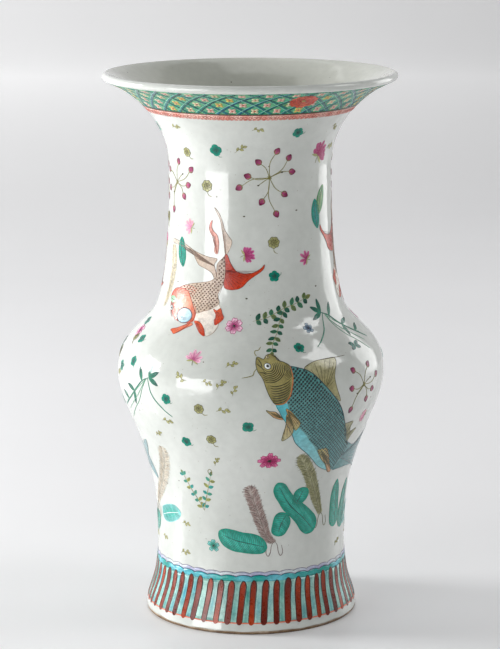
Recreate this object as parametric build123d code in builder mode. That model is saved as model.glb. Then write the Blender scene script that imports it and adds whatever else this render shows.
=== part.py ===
from build123d import *
import os
from math import cos, radians, sin

# A tall porcelain vase with a splayed foot, a high rounded belly and a trumpet neck.
# Four thrown sections are luted together with thin rings of slip. Glaze covers all of it except the
# ring that it stands on, and three enamel borders lie on the glaze.
# Millimetres, +Z up, with the origin on the standing surface at the middle of the foot.
# Radii, heights and walls are those of the finished, glazed surface.

# Outline: the radius and height of each place where the profile turns
overall_height = 451.0
foot_radius = 88.5
waist_radius = 78.1
waist_height = 64.5
belly_radius = 110.5
belly_height = 205.0
shoulder_radius = 83.0
shoulder_height = 251.3
neck_radius = 66.4
neck_height = 373.3
lip_radius = 120.7
lip_rounding = 2.9

# Slopes in degrees: the foot and the shoulder lean in from upright, and the lip rises from level
foot_lean = 5.4
shoulder_lean = 42.7
lip_rise = 19.5

# How far each curve holds its end's direction, as a share of that curve's own rise
foot_pull = 0.35
waist_pull_below = 0.70
waist_pull_above = 0.595
belly_pull_below = 0.25
belly_pull_above = 0.47
shoulder_pull_below = 0.49
shoulder_pull_above = 0.15
neck_pull_below = 0.52
neck_pull_above = 0.53
lip_pull = 0.35

# Walls, measured square to the surface and over both glazes
waist_wall = 7.8
belly_wall = 7.0
shoulder_wall = 6.6
neck_wall = 5.6

# Floor of the vase and the recess under it
base_thickness = 9.0
recess_depth = 12.0
recess_corner_radius = 3.0
well_corner_radius = 18.0
foot_ring_width = 8.0
foot_ring_rounding = 1.2

# Joins between the thrown sections
foot_seam_height = 56.0
belly_seam_height = 200.0
neck_seam_height = 247.0
slip_thickness = 0.8

# Glaze and enamel
glaze_thickness = 0.35
glaze_line_height = 2.6
enamel_thickness = 0.15
lattice_drop = 6.0
lattice_depth = 19.8
scroll_depth = 3.9
lappet_low = 9.2
lappet_height = 38.4

LEVEL = 0
UPRIGHT = 90

lip_centre = Vector(lip_radius - lip_rounding, overall_height - lip_rounding)
lip_joint = lip_centre + Vector(sin(radians(lip_rise)), -cos(radians(lip_rise))) * lip_rounding

# The outline's turning places from foot to lip: point, heading in degrees, pull below and pull above
stations = [
    (Vector(foot_radius, 0), UPRIGHT + foot_lean, 0, foot_pull),
    (Vector(waist_radius, waist_height), UPRIGHT, waist_pull_below, waist_pull_above),
    (Vector(belly_radius, belly_height), UPRIGHT, belly_pull_below, belly_pull_above),
    (
        Vector(shoulder_radius, shoulder_height),
        UPRIGHT + shoulder_lean,
        shoulder_pull_below,
        shoulder_pull_above,
    ),
    (Vector(neck_radius, neck_height), UPRIGHT, neck_pull_below, neck_pull_above),
    (lip_joint, LEVEL + lip_rise, lip_pull, 0),
]

# The cavity follows the same stations from the waist up, one wall further in
cavity_stations = stations[1:]
walls = [waist_wall, belly_wall, shoulder_wall, neck_wall, 2 * lip_rounding]


def along(heading, length):
    """Vector of a length along a heading in degrees."""
    return Vector(cos(radians(heading)), sin(radians(heading))) * length


def curves(places, depths):
    """Control points of the curves that join the places, each place moved into the wall by its depth."""
    chain = []
    for low, high, low_depth, high_depth in zip(places, places[1:], depths, depths[1:]):
        low_point, low_heading, _, low_pull = low
        high_point, high_heading, high_pull, _ = high
        rise = high_point.Y - low_point.Y
        start = low_point + along(low_heading + 90, low_depth)
        end = high_point + along(high_heading + 90, high_depth)
        leaving = start + along(low_heading, low_pull * rise)
        arriving = end - along(high_heading, high_pull * rise)
        chain.append((start, leaving, arriving, end))
    return chain


def outer_line(depth):
    """Outline from the foot up to the crest of the lip, depth below the finished surface."""
    with BuildLine() as line:
        for points in curves(stations, [depth] * len(stations)):
            Bezier(*points)
        CenterArc(lip_centre, lip_rounding - depth, lip_rise - 90, 180 - lip_rise)
    return line.wire()


def cavity_line(depth):
    """Outline from the middle of the floor up to the crest of the lip, depth below the finished surface."""
    well_radius = waist_radius - waist_wall + depth
    floor_height = recess_depth + base_thickness - depth
    corner = well_corner_radius + depth
    with BuildLine() as line:
        Line((0, floor_height), (well_radius - corner, floor_height))
        CenterArc((well_radius - corner, floor_height + corner), corner, -90, 90)
        Line((well_radius, floor_height + corner), (well_radius, waist_height))
        for points in curves(cavity_stations, [wall - depth for wall in walls]):
            Bezier(*points)
        CenterArc(lip_centre, lip_rounding - depth, lip_rise + 90, -lip_rise)
    return line.wire()


def recess_line(depth):
    """Outline of the recess under the floor, from its middle out to the foot ring's inner edge."""
    radius = foot_radius - foot_ring_width + depth
    ceiling = recess_depth + depth
    corner = recess_corner_radius + depth
    with BuildLine() as line:
        Line((0, ceiling), (radius - corner, ceiling))
        CenterArc((radius - corner, ceiling - corner), corner, 90, -90)
        Line((radius, ceiling - corner), (radius, 0))
    return line.wire()


def clay_face():
    """Half section of the bare porcelain, one glaze below every finished surface."""
    outer = outer_line(glaze_thickness)
    cavity = cavity_line(glaze_thickness)
    recess = recess_line(glaze_thickness)
    with BuildSketch() as face:
        with BuildLine():
            add([outer, cavity, recess])
            Line(cavity @ 0, recess @ 0)
            Line(recess @ 1, outer @ 0)
        make_face()
    return face.sketch


def layer_face(outline, top_depth, under_depth):
    """Half section of a thin layer between two depths of one outline."""
    top = outline(top_depth)
    under = outline(under_depth)
    with BuildSketch() as face:
        with BuildLine():
            add([top, under])
            Line(top @ 0, under @ 0)
            Line(top @ 1, under @ 1)
        make_face()
    return face.sketch


def between(face, low, high):
    """The part of a half section between two heights."""
    with BuildSketch() as piece:
        add(face)
        with Locations((0, low)):
            Rectangle(reach, high - low, align=(Align.MIN, Align.MIN), mode=Mode.INTERSECT)
    return piece.sketch


# Wide enough to cover any half section
reach = 2 * max(foot_radius, belly_radius, lip_radius)

clay = clay_face()
half_slip = slip_thickness / 2

# Foot: the splayed base with its ring, recess and floor, up to the join at the waist
with BuildPart() as foot:
    with BuildSketch(Plane.XZ):
        add(between(clay, 0, foot_seam_height - half_slip))
    revolve(axis=Axis.Z)
    fillet(foot.edges().group_by(Axis.Z)[0], foot_ring_rounding)
foot.part.label = "foot"

# Lower body: the long rise from the waist to just below the belly
with BuildPart() as lower_body:
    with BuildSketch(Plane.XZ):
        add(between(clay, foot_seam_height + half_slip, belly_seam_height - half_slip))
    revolve(axis=Axis.Z)
lower_body.part.label = "lower_body"

# Shoulder: the belly and the shoulder that closes in over it
with BuildPart() as shoulder:
    with BuildSketch(Plane.XZ):
        add(between(clay, belly_seam_height + half_slip, neck_seam_height - half_slip))
    revolve(axis=Axis.Z)
shoulder.part.label = "shoulder"

# Neck: the trumpet with its rolled lip
with BuildPart() as neck:
    with BuildSketch(Plane.XZ):
        add(between(clay, neck_seam_height + half_slip, overall_height))
    revolve(axis=Axis.Z)
neck.part.label = "neck"

# Slip: a thin ring of it joins each section to the next
slip_rings = []
for slip_name, seam_height in (
    ("foot_seam_slip", foot_seam_height),
    ("belly_seam_slip", belly_seam_height),
    ("neck_seam_slip", neck_seam_height),
):
    with BuildPart() as slip_ring:
        with BuildSketch(Plane.XZ):
            add(between(clay, seam_height - half_slip, seam_height + half_slip))
        revolve(axis=Axis.Z)
    slip_ring.part.label = slip_name
    slip_rings.append(slip_ring)

# Outer glaze: from the glaze line at the foot up to the crest of the lip
with BuildPart() as outer_glaze:
    with BuildSketch(Plane.XZ):
        add(between(layer_face(outer_line, 0, glaze_thickness), glaze_line_height, overall_height))
    revolve(axis=Axis.Z)
outer_glaze.part.label = "outer_glaze"

# Inner glaze: from the crest of the lip down the whole cavity and over its floor
with BuildPart() as inner_glaze:
    with BuildSketch(Plane.XZ):
        add(layer_face(cavity_line, 0, glaze_thickness))
    revolve(axis=Axis.Z)
inner_glaze.part.label = "inner_glaze"

# Recess glaze: the underside of the floor and the foot ring's inner side, down to the glaze line
with BuildPart() as recess_glaze:
    with BuildSketch(Plane.XZ):
        add(between(layer_face(recess_line, 0, glaze_thickness), glaze_line_height, recess_depth + reach))
    revolve(axis=Axis.Z)
recess_glaze.part.label = "recess_glaze"

# Enamel borders: lattice under the lip, a scroll band below it and lappets around the foot
lattice_high = overall_height - lattice_drop
lattice_low = lattice_high - lattice_depth
enamel = layer_face(outer_line, -enamel_thickness, 0)
borders = []
for border_name, border_low, border_high in (
    ("lattice_border", lattice_low, lattice_high),
    ("scroll_border", lattice_low - scroll_depth, lattice_low),
    ("lappet_border", lappet_low, lappet_low + lappet_height),
):
    with BuildPart() as border:
        with BuildSketch(Plane.XZ):
            add(enamel)
        revolve(axis=Axis.Z)
        split(bisect_by=Plane.XY.offset(border_low), keep=Keep.TOP)
        split(bisect_by=Plane.XY.offset(border_high), keep=Keep.BOTTOM)
    border.part.label = border_name
    borders.append(border)

os.makedirs("parts", exist_ok=True)
sections = [foot, lower_body, shoulder, neck]
glazes = [outer_glaze, inner_glaze, recess_glaze]
for piece in sections + slip_rings + glazes + borders:
    export_step(piece.part, f"parts/{piece.part.label}.step")
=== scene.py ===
import math
import random

import bpy
import numpy as np
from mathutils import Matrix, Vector
from mathutils.geometry import delaunay_2d_cdt


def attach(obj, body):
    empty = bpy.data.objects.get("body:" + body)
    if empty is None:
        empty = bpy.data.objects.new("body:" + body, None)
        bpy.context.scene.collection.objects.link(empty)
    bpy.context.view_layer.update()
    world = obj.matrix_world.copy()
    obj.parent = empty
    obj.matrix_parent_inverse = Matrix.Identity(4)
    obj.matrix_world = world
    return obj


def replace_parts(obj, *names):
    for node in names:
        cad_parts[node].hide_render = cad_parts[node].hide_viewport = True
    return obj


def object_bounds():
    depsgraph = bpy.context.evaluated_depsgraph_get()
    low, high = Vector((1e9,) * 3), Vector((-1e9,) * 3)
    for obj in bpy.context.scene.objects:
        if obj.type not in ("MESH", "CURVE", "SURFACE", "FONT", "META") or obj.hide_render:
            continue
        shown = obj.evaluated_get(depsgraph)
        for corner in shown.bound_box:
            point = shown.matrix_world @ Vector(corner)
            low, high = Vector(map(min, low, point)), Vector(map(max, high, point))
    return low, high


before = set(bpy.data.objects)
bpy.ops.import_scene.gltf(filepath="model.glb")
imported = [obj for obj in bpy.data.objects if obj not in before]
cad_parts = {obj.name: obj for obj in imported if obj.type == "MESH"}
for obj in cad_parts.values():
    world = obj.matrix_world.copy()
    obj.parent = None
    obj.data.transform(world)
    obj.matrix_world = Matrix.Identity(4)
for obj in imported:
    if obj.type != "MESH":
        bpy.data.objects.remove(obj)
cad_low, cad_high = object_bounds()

# Looks of a porcelain vase: glaze, overglaze enamels and a toasted foot ring.
# Lengths are millimetres until they become mesh points, and materials and the stage are in metres.
# Angles round the vase are degrees from the front (-Y) towards +X, and theta is the same in radians.

MM = 0.001
ROOT = "root"
random.seed(7)


# ---------------------------------------------------------------- outline of the vase

OVERALL_HEIGHT = cad_high.z / MM
LIP_RADIUS = 120.7
LIP_ROUNDING = 2.9
LIP_RISE = 19.5
LIP_CENTRE = (LIP_RADIUS - LIP_ROUNDING, OVERALL_HEIGHT - LIP_ROUNDING)
FLOOR_HEIGHT = 21.0
RECESS_HEIGHT = 12.0
RECESS_RADIUS = 80.5
WELL_CORNER = 18.0
RECESS_CORNER = 3.0
GLAZE_LINE = 2.6
CURVE_STEPS = 160


def along(heading, length):
    """Offset of a length along a heading in degrees."""
    return length * np.array((math.cos(math.radians(heading)), math.sin(math.radians(heading))))


LIP_JOINT = np.array(LIP_CENTRE) + along(LIP_RISE - 90, LIP_ROUNDING)

# Turning places of the outline from foot to lip: point, heading, pull of the curve below and above, wall
STATIONS = (
    ((88.5, 0.0), 95.4, 0.0, 0.35, 0.0),
    ((78.1, 64.5), 90.0, 0.70, 0.595, 7.8),
    ((110.5, 205.0), 90.0, 0.25, 0.47, 7.0),
    ((83.0, 251.3), 132.7, 0.49, 0.15, 6.6),
    ((66.4, 373.3), 90.0, 0.52, 0.53, 5.6),
    (tuple(LIP_JOINT), LIP_RISE, 0.35, 0.0, 2 * LIP_ROUNDING),
)


def arc_points(centre, radius, start, sweep, steps=24):
    """Points on an arc, from its start angle through its sweep."""
    angles = np.radians(start + sweep * np.linspace(0, 1, steps))
    return np.stack((centre[0] + radius * np.cos(angles), centre[1] + radius * np.sin(angles)), 1)


def profile_curves(first, inward):
    """Points up the outline from a station, on the outside or one wall inward."""
    parts = []
    for low, high in zip(STATIONS[first:], STATIONS[first + 1:]):
        rise = high[0][1] - low[0][1]
        start = np.array(low[0]) + along(low[1] + 90, low[4] * inward)
        end = np.array(high[0]) + along(high[1] + 90, high[4] * inward)
        leave = start + along(low[1], low[3] * rise)
        arrive = end - along(high[1], high[2] * rise)
        t = np.linspace(0, 1, CURVE_STEPS)[:, None]
        parts.append((1 - t) ** 3 * start + 3 * (1 - t) ** 2 * t * leave + 3 * (1 - t) * t * t * arrive
                     + t ** 3 * end)
    return np.concatenate(parts)


class Outline:
    """A profile with its length, and its radius, height and outward normal at each step."""

    def __init__(self, points):
        steps = np.hypot(*np.diff(points, axis=0).T)
        self.points = points[np.append(True, steps > 1e-6)]
        self.arc = np.append(0, np.cumsum(np.hypot(*np.diff(self.points, axis=0).T)))
        tangent = np.gradient(self.points, self.arc, axis=0)
        self.normal = np.stack((tangent[:, 1], -tangent[:, 0]), 1)
        self.normal /= np.hypot(*self.normal.T)[:, None]

    def radius(self, arc):
        """Radius at an arc length."""
        return np.interp(arc, self.arc, self.points[:, 0])

    def place(self, theta, arc, lift):
        """Points in metres at an angle in radians, an arc length and a lift off the surface."""
        radius = self.radius(arc) + lift * np.interp(arc, self.arc, self.normal[:, 0])
        height = np.interp(arc, self.arc, self.points[:, 1]) + lift * np.interp(arc, self.arc,
                self.normal[:, 1])
        return np.stack((radius * np.sin(theta), -radius * np.cos(theta), height), -1) * MM


def outer_outline():
    """From the foot up to the crest of the lip."""
    lip = arc_points(LIP_CENTRE, LIP_ROUNDING, LIP_RISE - 90, 180 - LIP_RISE)
    return Outline(np.concatenate((profile_curves(0, 0), lip)))


def cavity_outline():
    """From the crest of the lip down to the middle of the floor."""
    lip = arc_points(LIP_CENTRE, LIP_ROUNDING, 90, LIP_RISE)
    wall = profile_curves(1, 1)[::-1]
    well = wall[-1][0]
    corner = arc_points((well - WELL_CORNER, FLOOR_HEIGHT + WELL_CORNER), WELL_CORNER, 0, -90)
    floor = np.array([(r, FLOOR_HEIGHT) for r in np.linspace(well - WELL_CORNER, 0.4, 30)])
    straight = np.array([(well, z) for z in np.linspace(wall[-1][1], FLOOR_HEIGHT + WELL_CORNER, 16)])
    return Outline(np.concatenate((lip, wall, straight, corner, floor)))


def recess_outline():
    """From the middle of the underside out and down to the glaze line inside the foot ring."""
    ceiling = np.array([(r, RECESS_HEIGHT) for r in np.linspace(0.4, RECESS_RADIUS - RECESS_CORNER, 30)])
    centre = (RECESS_RADIUS - RECESS_CORNER, RECESS_HEIGHT - RECESS_CORNER)
    corner = arc_points(centre, RECESS_CORNER, 90, -90)
    return Outline(np.concatenate((ceiling, corner, np.array([(RECESS_RADIUS, GLAZE_LINE)]))))


OUTER = outer_outline()
CAVITY = cavity_outline()
RECESS = recess_outline()


def arc_at(height):
    """Arc length up the outside at a height."""
    below_lip = OUTER.points[:, 1] < LIP_JOINT[1]
    return float(np.interp(height, OUTER.points[below_lip, 1], OUTER.arc[below_lip]))


BELLY_SEAM = arc_at(200.0)
NECK_SEAM = arc_at(247.0)


def throwing(theta, arc):
    """Small outward unevenness that the wheel, the joins and the kiln leave in the outside."""
    rings = 0.035 * np.sin(arc / 2.9 + 0.8 * np.sin(theta)) + 0.05 * np.sin(arc / 7.7 + 1.3)
    sway = 0.07 * np.sin(3 * theta + arc / 55) + 0.05 * np.sin(5 * theta - arc / 31 + 1)
    belly = 0.16 * np.exp(-(((arc - BELLY_SEAM) / 2.2) ** 2))
    neck = -0.13 * np.exp(-(((arc - NECK_SEAM) / 1.8) ** 2))
    return 0.24 + rings + sway + belly + neck


# ---------------------------------------------------------------- colours and materials

def srgb(red, green, blue):
    """Linear colour from screen values of 0 to 255."""
    scaled = (red / 255, green / 255, blue / 255)
    return tuple(c / 12.92 if c <= 0.04045 else ((c + 0.055) / 1.055) ** 2.4 for c in scaled)


def blend(near, far, share):
    """Tone that is near at a share of 0 and far at a share of 1."""
    return np.array(near) * (1 - share) + np.array(far) * share


TEAL = srgb(0, 134, 112)
DEEP_TEAL = srgb(4, 74, 66)
PALE_TEAL = srgb(62, 184, 166)
PALE_TURQUOISE = srgb(128, 196, 196)
NIGHT_GREEN = srgb(10, 46, 48)
LEAF_GREEN = srgb(92, 142, 72)
PALE_GREEN = srgb(150, 170, 112)
OLIVE = srgb(126, 122, 58)
DARK_OLIVE = srgb(66, 62, 28)
PALE_OLIVE = srgb(168, 168, 116)
MAGENTA = srgb(164, 30, 92)
PLUM = srgb(92, 10, 46)
CERISE = srgb(170, 36, 110)
WINE = srgb(150, 24, 82)
ROSE = srgb(214, 130, 170)
PALE_PINK = srgb(244, 204, 224)
PINK = srgb(232, 176, 184)
IRON_RED = srgb(168, 40, 16)
CORAL = srgb(222, 110, 78)
INK = srgb(34, 26, 22)
WHITE = srgb(226, 232, 230)
ICE = srgb(176, 206, 214)


def new_material(name, roughness=None):
    """A material with its node tree, its Principled shader and its object coordinates in metres."""
    material = bpy.data.materials.new(name)
    material.use_nodes = True
    tree = material.node_tree
    shader = tree.nodes["Principled BSDF"]
    if roughness is not None:
        shader.inputs["Roughness"].default_value = roughness
    coordinates = tree.nodes.new("ShaderNodeTexCoord").outputs["Object"]
    return material, tree, shader, coordinates


def noise(tree, coordinates, scale, detail=3.0, distortion=0.0):
    """Noise with a grain of about 1/scale metres."""
    node = tree.nodes.new("ShaderNodeTexNoise")
    tree.links.new(coordinates, node.inputs["Vector"])
    node.inputs["Scale"].default_value = scale
    node.inputs["Detail"].default_value = detail
    node.inputs["Distortion"].default_value = distortion
    return node.outputs["Fac"]


def ramp(tree, factor, stops):
    """Colour ramp from (place, colour) stops, where a plain number stands for a grey."""
    node = tree.nodes.new("ShaderNodeValToRGB")
    tree.links.new(factor, node.inputs["Fac"])
    elements = node.color_ramp.elements
    while len(elements) < len(stops):
        elements.new(0.5)
    for element, (place, colour) in zip(elements, stops):
        element.position = place
        element.color = (*colour, 1) if isinstance(colour, tuple) else (colour, colour, colour, 1)
    return node.outputs["Color"]


def mottle(tree, coordinates, scale, detail, low, high, distortion=0.0):
    """Noise that wanders between a low and a high colour or grey."""
    return ramp(tree, noise(tree, coordinates, scale, detail, distortion), [(0.3, low), (0.7, high)])


def mix(tree, kind, factor, a, b):
    """Mixes two colours, either of which may be a socket."""
    node = tree.nodes.new("ShaderNodeMix")
    node.data_type = "RGBA"
    node.blend_type = kind
    for socket, value in ((node.inputs[0], factor), (node.inputs[6], a), (node.inputs[7], b)):
        if isinstance(value, bpy.types.NodeSocket):
            tree.links.new(value, socket)
        else:
            socket.default_value = (*value, 1) if isinstance(value, tuple) else value
    return node.outputs[2]


def bump(tree, shader, layers):
    """Chains bumps of (height socket, depth in metres) into the shader's normal."""
    normal = None
    for height, depth in layers:
        node = tree.nodes.new("ShaderNodeBump")
        node.inputs["Distance"].default_value = depth
        tree.links.new(height, node.inputs["Height"])
        if normal is not None:
            tree.links.new(normal, node.inputs["Normal"])
        normal = node.outputs["Normal"]
    tree.links.new(normal, shader.inputs["Normal"])


def specks(tree, coordinates, scale, size, seed):
    """Mask of scattered round specks, white in each speck and black between them."""
    offset = tree.nodes.new("ShaderNodeVectorMath")
    tree.links.new(coordinates, offset.inputs[0])
    offset.inputs[1].default_value = (seed, seed * 2, seed * 3)
    cells = tree.nodes.new("ShaderNodeTexVoronoi")
    tree.links.new(offset.outputs[0], cells.inputs["Vector"])
    cells.inputs["Scale"].default_value = scale
    rare = tree.nodes.new("ShaderNodeSeparateColor")
    tree.links.new(cells.outputs["Color"], rare.inputs["Color"])
    spot = ramp(tree, cells.outputs["Distance"], [(size * 0.5, 1.0), (size, 0.0)])
    chosen = ramp(tree, rare.outputs["Red"], [(0.78, 0.0), (0.80, 1.0)])
    return mix(tree, "MULTIPLY", 1.0, spot, chosen)


def glaze_material(name, tint, shade):
    """Porcelain glaze: clouded off-white with iron specks, pinholes and a faint ripple."""
    material, tree, shader, coordinates = new_material(name)
    clouds = mottle(tree, coordinates, 14, 4, shade, tint, 0.6)
    fine = mottle(tree, coordinates, 160, 3, 0.94, 1.0)
    body = mix(tree, "MULTIPLY", 1.0, clouds, fine)
    iron = specks(tree, coordinates, 95, 0.075, 3.1)
    grit = specks(tree, coordinates, 260, 0.10, 7.7)
    dotted = mix(tree, "MIX", iron, body, srgb(84, 70, 56))
    flecked = mix(tree, "MIX", grit, dotted, srgb(150, 142, 126))
    tree.links.new(flecked, shader.inputs["Base Color"])
    gloss = mottle(tree, coordinates, 45, 4, 0.07, 0.14)
    tree.links.new(gloss, shader.inputs["Roughness"])
    pits = ramp(tree, specks(tree, coordinates, 170, 0.09, 1.7), [(0.0, 1.0), (1.0, 0.0)])
    bump(tree, shader, [
        (noise(tree, coordinates, 55, 2), 0.0006),
        (noise(tree, coordinates, 260, 2), 0.00006),
        (pits, 0.00025),
    ])
    shader.inputs["IOR"].default_value = 1.5
    shader.inputs["Coat Weight"].default_value = 0.3
    shader.inputs["Coat Roughness"].default_value = 0.04
    return material


def clay_material(name, pale, dark, toasted):
    """Bare porcelain: matte and gritty, toasted to brown towards the edge that it stands on."""
    material, tree, shader, coordinates = new_material(name)
    grain = mottle(tree, coordinates, 420, 5, dark, pale)
    split = tree.nodes.new("ShaderNodeSeparateXYZ")
    tree.links.new(coordinates, split.inputs["Vector"])
    height = tree.nodes.new("ShaderNodeMapRange")
    tree.links.new(split.outputs["Z"], height.inputs["Value"])
    height.inputs["From Max"].default_value = 0.006
    uneven = mix(tree, "ADD", 0.5, height.outputs["Result"], noise(tree, coordinates, 90, 4))
    edge = ramp(tree, uneven, [(0.45, 1.0), (0.75, 0.0)])
    toasty = ramp(tree, noise(tree, coordinates, 240, 5), [(0.35, toasted), (0.65, srgb(128, 104, 76))])
    tree.links.new(mix(tree, "MIX", edge, grain, toasty), shader.inputs["Base Color"])
    dull = mottle(tree, coordinates, 600, 3, 0.62, 0.85)
    tree.links.new(dull, shader.inputs["Roughness"])
    bump(tree, shader, [(noise(tree, coordinates, 900, 4), 0.00025),
                        (noise(tree, coordinates, 150, 3), 0.0003)])
    return material


def enamel_material(name, low_gloss, high_gloss, depth, ripple):
    """Painted enamel: its own tones, pooled lighter and darker, over a fine ripple."""
    material, tree, shader, coordinates = new_material(name)
    tone = tree.nodes.new("ShaderNodeAttribute")
    tone.attribute_name = "tone"
    pools = ramp(tree, noise(tree, coordinates, 210, 5, 0.8),
                 [(0.25, 1 - depth * 0.7), (0.75, 1 + depth * 0.9)])
    streaks = mottle(tree, coordinates, 900, 3, 1 - depth * 0.3, 1 + depth * 0.3)
    pooled = mix(tree, "MULTIPLY", 1.0, tone.outputs["Color"], pools)
    tree.links.new(mix(tree, "MULTIPLY", 1.0, pooled, streaks), shader.inputs["Base Color"])
    gloss = mottle(tree, coordinates, 300, 4, low_gloss, high_gloss)
    tree.links.new(gloss, shader.inputs["Roughness"])
    bump(tree, shader, [(noise(tree, coordinates, 380, 3), ripple)])
    return material


GLAZE = glaze_material("porcelain_glaze", srgb(214, 217, 212), srgb(203, 207, 201))
# The glaze inside the vase and under its base is the outside glaze made a little darker: painted shade for
# these hollows.
SHADED_INNER_GLAZE = glaze_material("porcelain_glaze_inside_shaded", srgb(206, 208, 198), srgb(194, 197, 186))
CLAY = clay_material("bare_porcelain", srgb(208, 196, 178), srgb(178, 160, 138), srgb(92, 66, 42))
SLIP = clay_material("luting_slip", srgb(214, 206, 192), srgb(190, 178, 160), srgb(160, 140, 116))
CLEAR_ENAMEL = enamel_material("translucent_enamel", 0.08, 0.2, 0.35, 0.00012)
IRON_ENAMEL = enamel_material("iron_red_enamel", 0.22, 0.38, 0.28, 0.00006)
LINE_ENAMEL = enamel_material("outline_enamel", 0.25, 0.4, 0.3, 0.00005)
ENAMELS = (CLEAR_ENAMEL, IRON_ENAMEL, LINE_ENAMEL)
CLEAR, IRON, LINE = range(3)


# ---------------------------------------------------------------- meshes

def mesh_piece(name, verts, faces, materials):
    """A mesh object that rides on the vase."""
    mesh = bpy.data.meshes.new(name)
    mesh.from_pydata(verts, [], faces)
    for material in materials:
        mesh.materials.append(material)
    mesh.shade_smooth()
    piece = bpy.data.objects.new(name, mesh)
    bpy.context.scene.collection.objects.link(piece)
    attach(piece, ROOT)
    return piece


def revolved(name, outline, arcs, turns, lift, material):
    """A sheet turned round the axis. arcs and lift take the angle, so that edges can wander."""
    theta = np.linspace(0, 2 * math.pi, turns, endpoint=False)[:, None]
    arc = arcs(theta)
    verts = outline.place(np.broadcast_to(theta, arc.shape), arc, lift(theta, arc)).reshape(-1, 3)
    rows = arc.shape[1]
    column = np.arange(turns)[:, None] * rows
    beside = np.roll(column, -1, axis=0)
    step = np.arange(rows - 1)[None, :]
    faces = np.stack((column + step, beside + step, beside + step + 1, column + step + 1), -1).reshape(-1,
            4)
    return mesh_piece(name, verts.tolist(), faces.tolist(), [material])


# ---------------------------------------------------------------- painting tools

def smooth_line(points, closed=False, step=1.0):
    """Catmull-Rom curve through points, sampled about every step millimetres."""
    points = np.array(points, float)
    if closed:
        padded = np.concatenate((points[-1:], points, points[:2]))
    else:
        padded = np.concatenate((2 * points[:1] - points[1:2], points, 2 * points[-1:] - points[-2:-1]))
    line = []
    for a, b, c, d in zip(padded, padded[1:], padded[2:], padded[3:]):
        count = max(2, int(math.hypot(*(c - b)) / step))
        t = np.arange(count)[:, None] / count
        line.append(0.5 * (2 * b + (c - a) * t + (2 * a - 5 * b + 4 * c - d) * t * t
                           + (3 * b - a - 3 * c + d) * t ** 3))
    if not closed:
        line.append(points[-1:])
    return np.concatenate(line)


def inside(points, outline):
    """Which points lie inside a closed outline."""
    x, y = points[:, 0, None], points[:, 1, None]
    x1, y1 = outline[:, 0], outline[:, 1]
    x2, y2 = np.roll(x1, -1), np.roll(y1, -1)
    spans = (y1 > y) != (y2 > y)
    crossing = x1 + (y - y1) * (x2 - x1) / np.where(y2 == y1, 1e-9, y2 - y1)
    return (spans & (x < crossing)).sum(1) % 2 == 1


def fade(near, far, start, end):
    """Tone that changes from near to far between two local points."""
    start, way = np.array(start, float), np.subtract(end, start)

    def tone(points):
        share = np.clip((points - start) @ way / (way @ way), 0, 1)[:, None]
        return blend(near, far, share)
    return tone


def glow(middle, edge, centre, reach):
    """Tone that changes from its middle to its edge around a local point."""
    def tone(points):
        share = np.clip(np.hypot(*(points - np.array(centre, float)).T) / reach, 0, 1)[:, None]
        return blend(middle, edge, share)
    return tone


class Spot:
    """A place to paint: local millimetres right and up from an angle and an arc length."""

    def __init__(self, degrees, arc, turn=0.0, scale=1.0, flip=1):
        self.theta = math.radians(degrees)
        self.arc = arc
        self.turn = math.radians(turn)
        self.scale = scale
        self.flip = flip

    def spread(self, points):
        """Angles and arc lengths of local points."""
        x = points[:, 0] * self.flip * self.scale
        y = points[:, 1] * self.scale
        right = x * math.cos(self.turn) - y * math.sin(self.turn)
        up = x * math.sin(self.turn) + y * math.cos(self.turn)
        arc = self.arc + up
        return self.theta + right / OUTER.radius(arc), arc


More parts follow.
